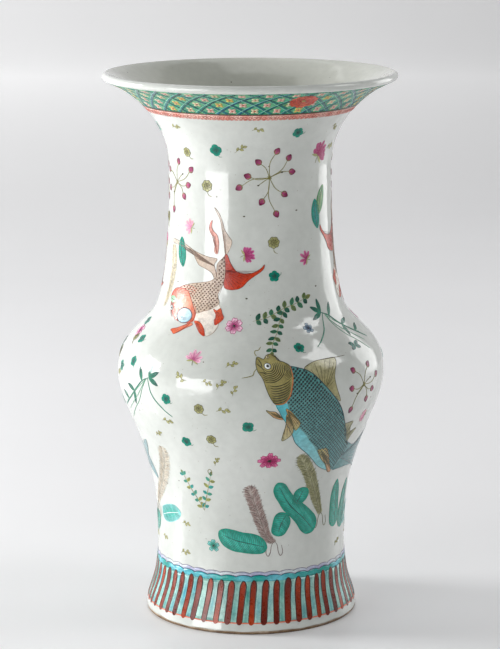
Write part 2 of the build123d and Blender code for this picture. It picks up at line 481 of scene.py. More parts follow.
class Painting:
    """Thin raised enamel shapes on the outer glaze, gathered into one mesh with a tone at every point."""

    SUNK = -0.12  # lift of the edges, just under the glaze

    def __init__(self, name, slot):
        self.name = name
        self.slot = slot
        self.verts = []
        self.tones = []
        self.faces = []
        self.kinds = []
        self.count = 0

    def place(self, theta, arc, lift, tones, faces, kind):
        """Adds points that are given round the vase, and their faces."""
        self.verts.append(OUTER.place(theta, arc, lift + throwing(theta, arc)))
        self.tones.append(tones)
        self.faces.extend([tuple(i + self.count for i in face) for face in faces])
        self.kinds.extend([kind] * len(faces))
        self.count += len(theta)

    def add(self, spot, points, lift, tones, faces, kind):
        """Adds points that are local to a spot, and their faces."""
        theta, arc = spot.spread(points)
        if spot.flip < 0:
            faces = [face[::-1] for face in faces]
        self.place(theta, arc, lift, tones, faces, kind)

    def tones_of(self, tone, points):
        """A tone at every point, from one tone or from a function of the points."""
        return tone(points) if callable(tone) else np.tile(np.array(tone, float), (len(points), 1))

    def fill(self, spot, outline, tone, kind=CLEAR, lift=0.16, step=1.0, grain=2.6):
        """A filled shape with a thin edge down to the glaze."""
        edge = smooth_line(outline, True, step)
        if np.sum(edge[:, 0] * np.roll(edge[:, 1], -1) - edge[:, 1] * np.roll(edge[:, 0], -1)) < 0:
            edge = edge[::-1]
        low, high = edge.min(0), edge.max(0)
        columns = np.arange(low[0] + grain / 2, high[0], grain)
        rows = np.arange(low[1] + grain / 2, high[1], grain)
        grid = np.array([(x, y) for x in columns for y in rows]).reshape(-1, 2)
        if len(grid):
            grid = grid[inside(grid, edge)]
            gaps = np.hypot(grid[:, None, 0] - edge[None, :, 0], grid[:, None, 1] - edge[None, :, 1])
            grid = grid[gaps.min(1) > grain * 0.3] if len(grid) else grid
        flat = [Vector(p) for p in np.concatenate((edge, grid)).tolist()]
        loop = [list(range(len(edge)))]
        verts, _, faces, _, _, _ = delaunay_2d_cdt(flat, [], loop, 1, 1e-5)
        points = np.array([tuple(v) for v in verts])
        self.add(spot, points, lift, self.tones_of(tone, points), [tuple(f) for f in faces], kind)
        count = len(edge)
        walls = [(i, count + i, count + (i + 1) % count, (i + 1) % count) for i in range(count)]
        lifts = np.repeat((lift, self.SUNK), count)
        ring = np.concatenate((edge, edge))
        self.add(spot, ring, lifts, self.tones_of(tone, ring), walls, kind)

    def stroke(self, spot, points, width, tone, lift=0.2, step=0.8, taper=(0.35, 0.35), closed=False,
               kind=LINE):
        """A brush line that swells between its tapered ends."""
        line = smooth_line(points, closed, step)
        along_line = np.gradient(line, axis=0)
        across = np.stack((-along_line[:, 1], along_line[:, 0]), 1)
        across /= np.maximum(np.hypot(*across.T)[:, None], 1e-6)
        share = np.linspace(0, 1, len(line))
        swell = taper[0] + (taper[1] - taper[0]) * share
        swell = swell + (1 - swell) * np.sin(math.pi * share) ** 0.6
        half = (width / 2 * (1 if closed else swell))
        half = np.broadcast_to(half, share.shape)[:, None]
        left, right = line + across * half, line - across * half
        count = len(line)
        rails = np.concatenate((right, right, left, left))
        lifts = np.concatenate([np.full(count, level) for level in (self.SUNK, lift, lift, self.SUNK)])
        faces = []
        for i in range(count if closed else count - 1):
            j = (i + 1) % count
            faces += [(rail * count + i, rail * count + j, (rail + 1) * count + j, (rail + 1) * count + i)
                      for rail in range(3)]
        self.add(spot, rails, lifts, self.tones_of(tone, rails), faces, kind)

    def dot(self, spot, centre, radius, tone, kind=LINE, lift=0.24, squash=1.0, turn=0.0, sides=14):
        """A small round or oval dab."""
        angles = np.linspace(0, 2 * math.pi, sides, endpoint=False)
        x, y = radius * np.cos(angles), radius * squash * np.sin(angles)
        c, s = math.cos(math.radians(turn)), math.sin(math.radians(turn))
        edge = np.stack((centre[0] + x * c - y * s, centre[1] + x * s + y * c), 1)
        points = np.concatenate((np.array([centre]), edge, edge))
        lifts = np.concatenate(([lift], np.full(sides, lift), np.full(sides, self.SUNK)))
        top = [(0, 1 + i, 1 + (i + 1) % sides) for i in range(sides)]
        wall = [(1 + i, 1 + sides + i, 1 + sides + (i + 1) % sides, 1 + (i + 1) % sides)
                for i in range(sides)]
        self.add(spot, points, lifts, self.tones_of(tone, points), top + wall, kind)

    def band(self, low, high, tone, kind=CLEAR, lift=0.1, turns=540, rows=4):
        """A strip right round the vase. Its edges are arc lengths or functions of the angle."""
        theta = np.linspace(0, 2 * math.pi, turns, endpoint=False)[:, None]
        bottom = low(theta) if callable(low) else np.full(theta.shape, low)
        top = high(theta) if callable(high) else np.full(theta.shape, high)
        share = np.linspace(0, 1, rows)[[0, *range(rows), rows - 1]]
        arc = bottom + (top - bottom) * share
        angle = np.broadcast_to(theta, arc.shape)
        lifts = np.full(arc.shape, lift)
        lifts[:, [0, -1]] = self.SUNK
        tones = tone(angle, arc) if callable(tone) else np.broadcast_to(np.array(tone), (*arc.shape, 3))
        across = rows + 2
        pairs = [(i * across, (i + 1) % turns * across) for i in range(turns)]
        faces = [(a + j, b + j, b + j + 1, a + j + 1) for a, b in pairs for j in range(across - 1)]
        self.place(angle.ravel(), arc.ravel(), lifts.ravel(), tones.reshape(-1, 3), faces, kind)

    def finish(self):
        """Makes the mesh object."""
        verts = np.concatenate(self.verts)
        piece = mesh_piece(self.name, verts.tolist(), self.faces, ENAMELS)
        mesh = piece.data
        mesh.polygons.foreach_set("material_index", np.array(self.kinds, np.int32))
        tone = mesh.attributes.new("tone", "FLOAT_COLOR", "POINT")
        tones = np.concatenate(self.tones)
        opaque = np.hstack((tones, np.ones((len(tones), 1)))).astype(np.float32)
        tone.data.foreach_set("color", opaque.ravel())
        mesh.update()
        return piece


def jitter(amount):
    """A small random amount either way."""
    return random.uniform(-amount, amount)


# ---------------------------------------------------------------- plants and flowers

def arc_stroke(art, spot, centre, reach, start, end, width, tone, squash=1.0, turn=0.0, lift=0.28):
    """A curved brush line on part of an oval."""
    points = turned([along(a, reach) * (1, squash) for a in np.linspace(start, end, 7)],
                    turn) + np.array(centre)
    art.stroke(spot, points, width, tone, lift)


def petal_outline(reach, width, notch=0.12):
    """A petal from the origin along +Y, with a notched tip."""
    left = [(-width * x, reach * y) for x, y in ((0.35, 0.3), (0.5, 0.68), (0.28, 0.97))]
    right = [(-x, y) for x, y in left[::-1]]
    return [(0, 0), *left, (0, reach * (1 - notch)), *right]


def turned(points, degrees, squash=1.0):
    """Local points turned about the origin, then squashed in height."""
    c, s = math.cos(math.radians(degrees)), math.sin(math.radians(degrees))
    points = np.array(points, float)
    x, y = points.T
    return np.stack((x * c - y * s, (x * s + y * c) * squash), 1)


def blossom(art, spot, reach, petals, deep, pale, start=0.0, squash=1.0, width=0.62):
    """An open flower: petals round a dark eye, each with a fine outline and veins."""
    for index in range(petals):
        angle = start + index * (360 / petals) + jitter(5)
        length = reach * (1 + jitter(0.1))
        shape = turned(petal_outline(length, reach * width), angle, squash)
        art.fill(spot, shape, glow(deep, pale, (0, 0), length * 0.9), IRON, 0.14 + 0.012 * (index % 3),
                 step=0.6, grain=1.2)
        art.stroke(spot, shape, 0.4, deep, 0.2, step=0.6, closed=True)
        for lean in (-16, 0, 16):
            vein = turned([(0, length * 0.2), (0, length * 0.5), (0, length * (0.8 - abs(lean) / 100))],
                          angle + lean, squash)
            art.stroke(spot, vein, 0.42, deep, 0.21, taper=(1, 0.2))
    for index in range(6):
        tip = turned([(0, reach * 0.3)], start + 60 * index + 20, squash)[0]
        art.stroke(spot, [(0, 0), tip], 0.3, INK, 0.24, step=0.5, taper=(1, 0.8))
    art.dot(spot, (0, 0), reach * 0.14, INK, LINE, 0.27, squash)


def side_blossom(art, spot, reach, deep, pale, petals):
    """A flower seen from the side: long petals that fan up from a short cup."""
    for index in range(petals):
        angle = 80 - 160 * index / (petals - 1) + jitter(5)
        length = reach * (0.75 + 0.3 * math.cos(math.radians(angle)) + jitter(0.08))
        shape = turned(petal_outline(length, reach * 0.34, 0.0), angle)
        art.fill(spot, shape, fade(deep, pale, (0, 0), turned([(0, length)], angle)[0]), IRON,
                 0.13 + 0.012 * (index % 3), step=0.7)
        art.stroke(spot, turned([(0, 0), (0, length * 0.5), (0, length * 0.92)], angle), 0.3, deep, 0.21)
    for side in (-1, 1):
        art.fill(spot, [(0, 0), (side * reach * 0.3, -reach * 0.02), (side * reach * 0.62, -reach * 0.24),
                        (side * reach * 0.25, -reach * 0.2)], PALE_OLIVE, CLEAR, 0.15, step=0.6)
    art.stroke(spot, [(0, 0), (reach * 0.03, -reach * 0.25), (reach * 0.12, -reach * 0.5)], 0.5, OLIVE)


def clover(art, spot, reach, lobes):
    """A round lobed leaf, darker where the enamel pools, with a vein in each lobe and a thread of stem."""
    angles = np.linspace(0, 360, lobes * 8, endpoint=False)
    edge = [along(a, reach * (0.8 + 0.2 * abs(math.cos(math.radians(lobes * a / 2))) ** 0.7 + jitter(0.02)))
            for a in angles]
    art.fill(spot, edge, glow(DEEP_TEAL, TEAL, (reach * 0.1, 0), reach * 0.8), CLEAR, 0.2, step=0.6)
    for index in range(lobes * 2):
        heading = index * 180 / lobes
        far = 0.82 if index % 2 == 0 else 0.5
        art.stroke(spot, [(0, 0), along(heading, reach * 0.4), along(heading + 7, reach * far)], 0.3,
                   NIGHT_GREEN, 0.25)
    stem = [along(-75, reach * 0.8), along(-80, reach * 1.15), along(-60, reach * 1.45)]
    art.stroke(spot, stem, 0.4, srgb(58, 120, 96))


def round_leaf(art, spot, reach):
    """A small round leaf with a ragged outline, a net of veins and a hooked stem."""
    edge = [along(a, reach * (0.95 + 0.07 * math.sin(math.radians(7 * a)))) for a in range(0, 360, 15)]
    art.fill(spot, edge, glow(OLIVE, PALE_OLIVE, (reach * 0.2, reach * 0.1), reach), CLEAR, 0.15, step=0.6)
    art.stroke(spot, edge, 0.34, DARK_OLIVE, 0.2, step=0.6, closed=True)
    for heading in range(10, 370, 45):
        art.stroke(spot, [(0, 0), along(heading, reach * 0.5), along(heading + 14, reach * 0.9)], 0.3,
                   DARK_OLIVE, 0.21)
    arc_stroke(art, spot, (0, 0), reach * 0.5, 0, 300, 0.3, DARK_OLIVE, 0.9)
    hook = [(0, -reach), (reach * 0.2, -reach * 1.6), (reach * 0.8, -reach * 1.84)]
    art.stroke(spot, hook, 0.5, OLIVE)


def leaf_outline(length, width):
    """A pointed oval leaf from the origin along +X."""
    upper = [(length * x, width * y) for x, y in ((0.2, 0.36), (0.5, 0.5), (0.82, 0.3))]
    lower = [(x, -y) for x, y in upper[::-1]]
    return [(0, 0), *upper, (length, 0), *lower]


def leaf(art, spot, at, heading, length, width, near, far, veins=3):
    """A single leaf with a midrib and side veins."""
    origin = np.array(at, float)
    shape = turned(leaf_outline(length, width), heading) + origin
    tip = turned([(length, 0)], heading)[0] + origin
    art.fill(spot, shape, fade(near, far, at, tip), CLEAR, 0.17, step=0.6)
    art.stroke(spot, [at, origin + (tip - origin) * 0.5, origin + (tip - origin) * 0.92], 0.28, NIGHT_GREEN,
               0.22)
    for index in range(veins):
        base = length * (0.25 + 0.5 * index / max(1, veins - 1))
        for side in (-1, 1):
            rib = turned([(base, 0), (base + width * 0.3, side * width * 0.3)], heading) + origin
            art.stroke(spot, rib, 0.2, NIGHT_GREEN, 0.22, step=0.5)


def twig(art, spot, stem, size, tones, gap):
    """A stem with small oval leaves in pairs."""
    line = smooth_line(stem, False, 0.5)
    art.stroke(spot, stem, 0.45, OLIVE)
    spacing = max(2, int(size * gap / 0.5))
    for order, index in enumerate(range(spacing // 2, len(line) - 1, spacing)):
        way = line[index + 1] - line[index]
        heading = math.degrees(math.atan2(way[1], way[0]))
        for side in (-1, 1):
            tone = np.array(tones[(order + (side > 0)) % len(tones)])
            leaf(art, spot, line[index], heading + side * (62 + jitter(12)), size * (1 + jitter(0.15)),
                 size * 0.64, tone, tone * 0.6, veins=1)
    way = line[-1] - line[-3]
    leaf(art, spot, line[-1], math.degrees(math.atan2(way[1], way[0])), size, size * 0.6, tones[-1], OLIVE,
         veins=1)


def feather_weed(art, spot, spine, width, wash, dark):
    """A water weed: a soft pale wash that tapers to its root, under a fringe of fine hairs."""
    line = smooth_line(spine)
    way = np.gradient(line, axis=0)
    way /= np.hypot(*way.T)[:, None]
    across = np.stack((-way[:, 1], way[:, 0]), 1)
    share = np.linspace(0, 1, len(line))
    half = width / 2 * np.minimum(np.sqrt(np.clip(share * 9, 0.02, 1)), 1.0 - 0.6 * share ** 4)
    sides = [line + across * half[:, None] * 0.86, (line - across * half[:, None] * 0.86)[::-1]]
    art.fill(spot, np.concatenate(sides)[::3], fade(wash, np.array(wash) * 0.85, line[0], line[-1]), IRON,
             0.1, step=1.4)
    art.stroke(spot, spine[1:], 0.4, dark)
    for index in range(2, len(line) - 2):
        for side in (-1, 1):
            for _ in range(3):
                start = random.uniform(0.0, 0.45)
                base = line[index] + across[index] * side * half[index] * start
                out = across[index] * side * half[index] * random.uniform(0.3, 1.12 - start)
                tip = base + out - way[index] * half[index] * random.uniform(0.2, 0.6)
                middle = (base + tip) / 2 - way[index] * 0.3
                tone = np.array(dark) * random.uniform(0.8, 2.4)
                art.stroke(spot, [base, middle, tip], 0.26, tone, 0.16, step=1.2, taper=(1, 0.2))


def sprig(art, spot, size):
    """A drifting scrap of weed: one curved stroke with a few slim leaves."""
    art.stroke(spot, [(-size, -size * 0.1), (-size * 0.3, size * 0.14), (size * 0.4, 0),
                      (size, size * 0.25)], 0.5, OLIVE)
    for start, heading in ((-0.6, 50), (-0.1, -40), (0.3, 40), (0.55, -20)):
        shape = turned(leaf_outline(size * 0.62, size * 0.36), heading + jitter(14))
        shape = shape + (size * start, size * 0.05)
        art.fill(spot, shape, PALE_OLIVE, CLEAR, 0.13, step=0.6)
        art.stroke(spot, shape, 0.28, OLIVE, 0.18, step=0.6, closed=True)


def bud_spray(art, spot, buds, knots):
    """Buds on long curved stalks from one knotted crown."""
    for index, bud in enumerate(np.array(buds, float)):
        bend = bud * 0.55 + np.array((-bud[1], bud[0])) * (0.12 if index % 2 else -0.12)
        art.stroke(spot, [(0, 0), bend, bud], 0.5, OLIVE, 0.19, taper=(1, 0.6))
        heading = math.degrees(math.atan2(bud[1] - bend[1], bud[0] - bend[0]))
        husk = [(-1.4, 0), (-0.2, 2.1), (2.0, 2.3), (4.6, 0), (2.0, -2.3), (-0.2, -2.1)]
        shape = turned(husk, heading) + bud
        tip = turned([(4.4, 0)], heading)[0] + bud
        art.fill(spot, shape, fade(srgb(176, 62, 118), PLUM, bud, tip), IRON, 0.19, step=0.5)
        art.stroke(spot, shape, 0.28, PLUM, 0.24, step=0.5, closed=True)
        for side in (-1, 1):
            sepal = turned([(-1.6, 0), (-0.2, side * 1.5), (1.6, side * 1.2)], heading) + bud
            art.stroke(spot, sepal, 0.6, OLIVE, 0.26, step=0.5)
    for knot in knots:
        art.stroke(spot, [(0, 0), np.array(knot) * 0.5 + 0.6, knot], 0.45, OLIVE)
        art.dot(spot, knot, 0.9, DARK_OLIVE, squash=0.6)
    for heading in range(0, 360, 40):
        art.stroke(spot, [along(heading, 0.4), along(heading + 25, 2.0)], 0.7, OLIVE, 0.24, step=0.6)


def broad_leaf(art, spot, outline, rib, tones=(TEAL, PALE_TEAL), rib_tone=NIGHT_GREEN):
    """A large water leaf: pooled teal with soft darker edges, a midrib and close hatching either side."""
    edge = smooth_line(outline, True)
    line = smooth_line(rib, False, 1.7)

    def pooled(points):
        """Darker near the rim and in bars across the leaf."""
        rim = np.hypot(points[:, None, 0] - edge[None, :, 0], points[:, None, 1] - edge[None, :, 1]).min(1)
        bars = 0.45 + 0.55 * np.sin(points[:, 0] * 0.5 + points[:, 1] * 0.35) ** 2
        return blend(*tones, np.clip(np.clip(rim / 5.5, 0, 1) * bars, 0, 1)[:, None])

    art.fill(spot, outline, pooled, CLEAR, 0.24, step=0.8, grain=1.8)
    art.stroke(spot, rib, 0.6, rib_tone, 0.3)
    for a, b in zip(line, line[1:]):
        way = (b - a) / max(1e-6, math.hypot(*(b - a)))
        for side in (-1, 1):
            across = np.array((-way[1], way[0])) * side
            reaches = np.arange(1, 14, 0.5)
            held = reaches[inside(a + reaches[:, None] * (across + way * 0.5), edge)]
            if len(held):
                far = max(held) * 0.95
                hatch = [a, a + across * far * 0.5 + way * far * 0.18, a + across * far + way * far * 0.5]
                art.stroke(spot, hatch, 0.4, srgb(6, 100, 88), 0.28, step=1.2, taper=(0.6, 1))


# ---------------------------------------------------------------- fish

def marks_inside(art, spot, outline, pitch, size, tone, lean):
    """Staggered rows of small rhombs inside an outline. tone and size may depend on the place."""
    edge = smooth_line(outline, True)
    low, high = edge.min(0), edge.max(0)
    margin = np.array([(0.9, 0), (-0.9, 0), (0, 0.9), (0, -0.9)])
    for row, y in enumerate(np.arange(low[1], high[1], pitch * 0.5)):
        for x in np.arange(low[0] + row % 2 * pitch / 2, high[0], pitch):
            centre = np.array((x + jitter(0.12), y + jitter(0.12)))
            if inside(centre + margin, edge).all():
                reach = size(centre) if callable(size) else size
                colour = tone(centre[None, :])[0] if callable(tone) else tone
                art.dot(spot, centre, reach, colour, LINE, 0.27, 0.8, lean + jitter(8), 6)


def line_inside(art, spot, path, edge, least, gap, width, tone, lift, step, taper=(0.35, 0.35)):
    """A brush line along the part of a path inside an edge, left out where that has too few points."""
    held = path[inside(path, edge)]
    if len(held) > least:
        art.stroke(spot, held[::gap], width, tone, lift, step, taper)


def fin(art, spot, outline, root, near, far, ray, rays=9, kind=CLEAR, lift=0.2, width=0.34):
    """A fin or tail lobe: a graded wash with an outline and rays that spread from its root."""
    edge = smooth_line(outline, True)
    root = np.array(root, float)
    reach = np.hypot(*(edge - root).T)
    art.fill(spot, outline, glow(near, far, root, reach.max()), kind, lift)
    art.stroke(spot, outline, width, ray, lift + 0.05, closed=True)
    rim = edge[reach > reach.max() * 0.5]
    for target in rim[::max(1, len(rim) // rays)]:
        path = root + (target - root) * np.linspace(0.08, 0.95, 16)[:, None]
        line_inside(art, spot, path, edge, 4, 3, width * 0.8, ray, lift + 0.06, 1.5, (0.8, 0.4))


# Outlines of the carp, in millimetres right and up from the middle of its body
CARP_HEAD = [
    (-29.5, 39), (-32, 33), (-31.5, 26.5), (-28.5, 21), (-26, 12.5), (-23, 5.5), (-18.5, 0), (-12, 0.5),
    (-7, 6.5), (-5, 14.5), (-4, 22), (-5, 30), (-9, 33.5), (-14.5, 36), (-15, 39.5), (-19, 41.5),
    (-22.5, 40), (-25, 37),
]
CARP_BODY = [
    (-5, 30), (7, 26.5), (14, 22), (21.5, 14.5), (29, 6.5), (41, -8), (49.5, -25.5), (56.5, -43),
    (62, -50.5), (57, -60), (45.5, -70.5), (38.5, -66.5), (31.5, -60), (21, -45), (15, -37.5), (9, -29),
    (2.5, -22), (-4.5, -11), (-8.5, -2), (-9.5, 3.5), (-6, 12.5), (-4, 22),
]
CARP_BELLY = [
    (-18.5, 0), (-14, -9), (-8.5, -17.5), (-2, -29), (2, -37.5), (8.5, -44.5), (14.5, -50), (20, -56),
    (26, -63), (32.5, -67.5), (40, -70.5), (31.5, -60), (21, -45), (15, -37.5), (9, -29), (2.5, -22),
    (-4.5, -11), (-9.5, 0),
]
CARP_BACK_FIN = [
    (7, 27.5), (16, 32), (25.5, 33), (36, 33), (37.5, 28.5), (35, 22), (34, 16.5), (36, 8), (40, -3),
    (33.5, 2), (29, 7), (21.5, 14.5), (14, 22),
]
CARP_REAR_FIN = [
    (50, -28), (54.5, -26.5), (61, -26.5), (59, -31.5), (60.5, -36.5), (68.5, -35), (62, -42), (57, -47.5),
    (53.5, -39),
]
CARP_VENT_FIN = [
    (24.5, -48.5), (29, -47.5), (33.5, -48), (37, -54), (39, -61), (42.5, -71), (39, -71.5), (35, -64),
    (29.5, -57.5),
]
CARP_SIDE_FIN = [
    (-10, -4.5), (-6.5, -6), (-1.5, -11.5), (3.5, -18.5), (0.5, -25), (-3, -19.5), (-6.5, -12.5),
]
CARP_LOWER_FIN = [
    (-9, -9.5), (-5, -14), (-2.5, -20.5), (-1.5, -26.5), (-4, -31), (-9.5, -34.5), (-9.5, -28),
    (-8.5, -19.5),
]
CARP_FAR_FIN = [
    (-26, -5), (-22.5, -6), (-18.5, -6.5), (-15, -9.5), (-11.5, -13.5), (-14, -13.5), (-19, -11.5),
    (-21.5, -9.5),
]
CARP_TAIL = [
    (60.5, -48.5), (69.5, -52), (81, -52.5), (93.5, -48.5), (109.5, -42), (101, -52.5), (92.5, -60),
    (95, -68.5), (97.5, -80.5), (85.5, -76), (75, -73.5), (65, -72), (51, -71.5), (45.5, -70.5), (53, -60),
]


def eye(art, spot, centre, size, ring):
    """A round eye: dark rim, pale ring and dark pupil."""
    art.dot(spot, centre, size * 1.2, INK, LINE, 0.3, sides=20)
    art.dot(spot, centre, size, ring, IRON, 0.34, sides=20)
    art.dot(spot, centre, size * 0.46, INK, LINE, 0.4, sides=16)


def carp(art, spot):
    """A scaled teal carp with an olive head, rising towards the left."""
    ray = srgb(84, 78, 40)
    umber = srgb(50, 46, 20)
    olive, ochre = srgb(124, 116, 66), srgb(172, 162, 106)
    fin(art, spot, CARP_TAIL, (50, -60), srgb(76, 130, 130), srgb(132, 160, 164), srgb(80, 98, 104), 16)
    fin(art, spot, CARP_BACK_FIN, (22, 6), srgb(136, 128, 74), srgb(186, 182, 146), ray, 14, width=0.5)
    art.stroke(spot, [(7, 28), (16, 32), (25.5, 33), (36, 33), (48.5, 33)], 0.6, ray)
    fin(art, spot, CARP_REAR_FIN, (53, -40), srgb(122, 122, 82), srgb(172, 170, 136), ray, 9, width=0.45)
    fin(art, spot, CARP_FAR_FIN, (-11, -13), srgb(214, 146, 104), srgb(176, 164, 116), ray, 6, width=0.45)
    art.fill(spot, CARP_BELLY, fade(srgb(84, 180, 192), srgb(140, 198, 202), (-12, -6), (26, -60)), CLEAR,
             0.2)
    back = fade(srgb(84, 142, 138), srgb(112, 158, 158), (20, 20), (30, -60))
    art.fill(spot, CARP_BODY, back, CLEAR, 0.22)
    axis = np.array((0.55, -0.83))

    def depth(point):
        """0 at the belly and 1 at the back, across the body."""
        return np.clip((point @ np.array((0.83, 0.55)) + 12) / 40, 0, 1)

    def mark_size(point):
        """Larger along the back, and smaller towards the tail."""
        return 0.98 + 0.3 * depth(point) * np.clip(1.1 - (point @ axis + 20) / 110, 0.1, 1)

    def mark_tone(points):
        """Paler towards the tail."""
        share = np.clip((points @ axis + 20) / 110, 0, 1)[:, None]
        return blend(srgb(0, 32, 34), srgb(8, 56, 60), share)

    marks_inside(art, spot, CARP_BODY, 3.5, mark_size, mark_tone, 45)
    edge = smooth_line(CARP_BODY, True)
    for start in range(-34, 70, 3):
        path = smooth_line([(start, 40), (start + 14, 0), (start + 36, -44), (start + 50, -74)])
        line_inside(art, spot, path, edge, 12, 4, 0.24, srgb(26, 92, 104), 0.245, 2.0)
    art.stroke(spot, CARP_BODY[:9], 0.8, srgb(10, 54, 62), 0.3)
    art.stroke(spot, CARP_BELLY[:11], 0.5, srgb(24, 62, 66), 0.3)
    art.fill(spot, CARP_HEAD, glow(ochre, olive, (-20, 28), 26), CLEAR, 0.26)
    art.stroke(spot, CARP_HEAD, 0.5, DARK_OLIVE, 0.31, closed=True)
    art.stroke(spot, CARP_HEAD[6:12], 1.1, srgb(176, 104, 52), 0.32)
    for step in range(7):
        arc_stroke(art, spot, (-22.5, 30.5), 4.2 + 1.45 * step, -150 + 6 * step, 38 - 5 * step, 0.78, umber)
    for step in range(8):
        arc_stroke(art, spot, (-15, 19 - 2.1 * step), 9.6 - 0.35 * step, -155, -22, 0.85, umber, 0.42, 14)
    for step in range(5):
        arc_stroke(art, spot, (-12, 26), 3.2 + 1.2 * step, -80, 65, 0.55, umber, 0.9)
    for points in ([(-30, 38), (-28, 34), (-27.5, 30)], [(-31.5, 33), (-29, 31), (-26.5, 27.5)],
                   [(-30.5, 26), (-27, 25.5), (-24.5, 25)], [(-18, 40.5), (-14.5, 38), (-12, 34)]):
        art.stroke(spot, points, 0.9, DARK_OLIVE, 0.31)
    eye(art, spot, (-23, 31), 2.4, WHITE)
    eye(art, spot, (-21.5, 38.9), 1.2, srgb(196, 184, 140))
    for whisker in ([(-30, 40), (-30.8, 43), (-29.5, 45), (-27, 45.5), (-24.5, 48.5)],
                    [(-32, 29), (-34.5, 26.5), (-35.5, 24), (-39.5, 22.5), (-45, 21.5)]):
        art.stroke(spot, whisker, 0.6, OLIVE, taper=(1, 0.4))
    for outline, root, near, far, lift in (
            (CARP_LOWER_FIN, (-8.5, -10), srgb(190, 152, 98), srgb(186, 180, 138), 0.25),
            (CARP_SIDE_FIN, (-9, -5), srgb(206, 160, 104), srgb(176, 168, 118), 0.28),
            (CARP_VENT_FIN, (28, -50), srgb(170, 164, 112), srgb(206, 160, 132), 0.26)):
        fin(art, spot, outline, root, near, far, ray, 9, CLEAR, lift, 0.5)


# Outlines of the goldfish, in millimetres right and up from the middle of its body
GOLDFISH_HEAD = [
    (-32.5, 0.5), (-30.5, 5.5), (-26, 9), (-20.5, 10), (-15, 10), (-10.5, 8), (-6.5, 2), (-2.5, -4.5),
    (0, -11), (-3, -16.5), (-10, -17.5), (-19, -16.5), (-24, -13.5), (-28, -9.5), (-28.5, -5.5), (-26, -2),
    (-25, 1.5), (-28, 2), (-30.5, 1),
]
GOLDFISH_BODY = [
    (-19, 10.5), (-14, 13.5), (-6, 15.5), (4.5, 17.5), (10, 19), (14.5, 22), (15, 26.5), (15, 32.5),
    (18.5, 37), (21.5, 39.5), (22, 33), (22, 22), (21.5, 17), (19.5, 13.5), (17.5, 8), (19.5, 1.5),
    (15.5, -2), (11.5, -4.5), (6.5, -6), (1.5, -8), (-2.5, -4.5), (-6.5, 2), (-10.5, 8),
]
GOLDFISH_BELLY = [
    (0, -11), (1.5, -8), (6.5, -6), (11.5, -4.5), (15.5, -2), (19.5, 1.5), (22.5, -6.5), (22.5, -16.5),
    (21, -23.5), (16, -27), (11.5, -21), (6, -16), (1.5, -15),
]
GOLDFISH_RED_TAIL = [
    (21, 39.5), (23, 41), (26, 34.5), (29.5, 29.5), (32.5, 27), (38, 26), (44, 26.5), (50, 29.5),
    (53.5, 33), (52, 28.5), (44.5, 23), (40.5, 19.5), (36.5, 15), (31, 13), (23.5, 13.5), (21.5, 18.5),
    (22.5, 26.5),
]
GOLDFISH_GREY_TAIL = [
    (11.5, 78), (15.5, 73.5), (18.5, 66.5), (20.5, 60.5), (24, 55.5), (26.5, 51.5), (25, 45.5), (22, 40.5),
    (20.5, 46.5), (20, 53), (18, 61), (16.5, 68.5),
]
GOLDFISH_PINK_TAIL = [
    (9.5, 68), (7.5, 65), (7, 60.5), (9, 56.5), (12, 54), (12.5, 48.5), (12, 43), (14.5, 41), (15.5, 44.5),
    (15.5, 50.5), (14, 56), (10.5, 59.5), (9, 63),
]
GOLDFISH_BACK_FIN = [
    (-35.5, 48), (-23.5, 47), (-16.5, 45.5), (-9, 42.5), (-1.5, 40), (7.5, 38), (14.5, 37), (12.5, 32),
    (14.5, 25.5), (14, 20.5), (10.5, 25.5), (4.5, 28.5), (-2, 31), (-6, 36), (-10, 41.5), (-16.5, 43.5),
    (-24, 44.5), (-35.5, 45),
]
GOLDFISH_LEFT_FIN = [
    (-3, -17), (0, -18), (-5.5, -22), (-10, -26), (-14.5, -29), (-17.5, -27.5), (-20, -25.5), (-13, -22.5),
    (-7, -19),
]
GOLDFISH_MIDDLE_FIN = [
    (0.5, -15), (3, -14.5), (6.5, -15.5), (11.5, -20.5), (15, -27), (10.5, -25.5), (6, -21.5), (3, -18),
]
GOLDFISH_RIGHT_FIN = [
    (15.5, -3.5), (18.5, -4.5), (21.5, -2.5), (23.5, -6.5), (25.5, -10.5), (23, -14), (20, -16.5),
    (18, -12.5), (19, -9),
]


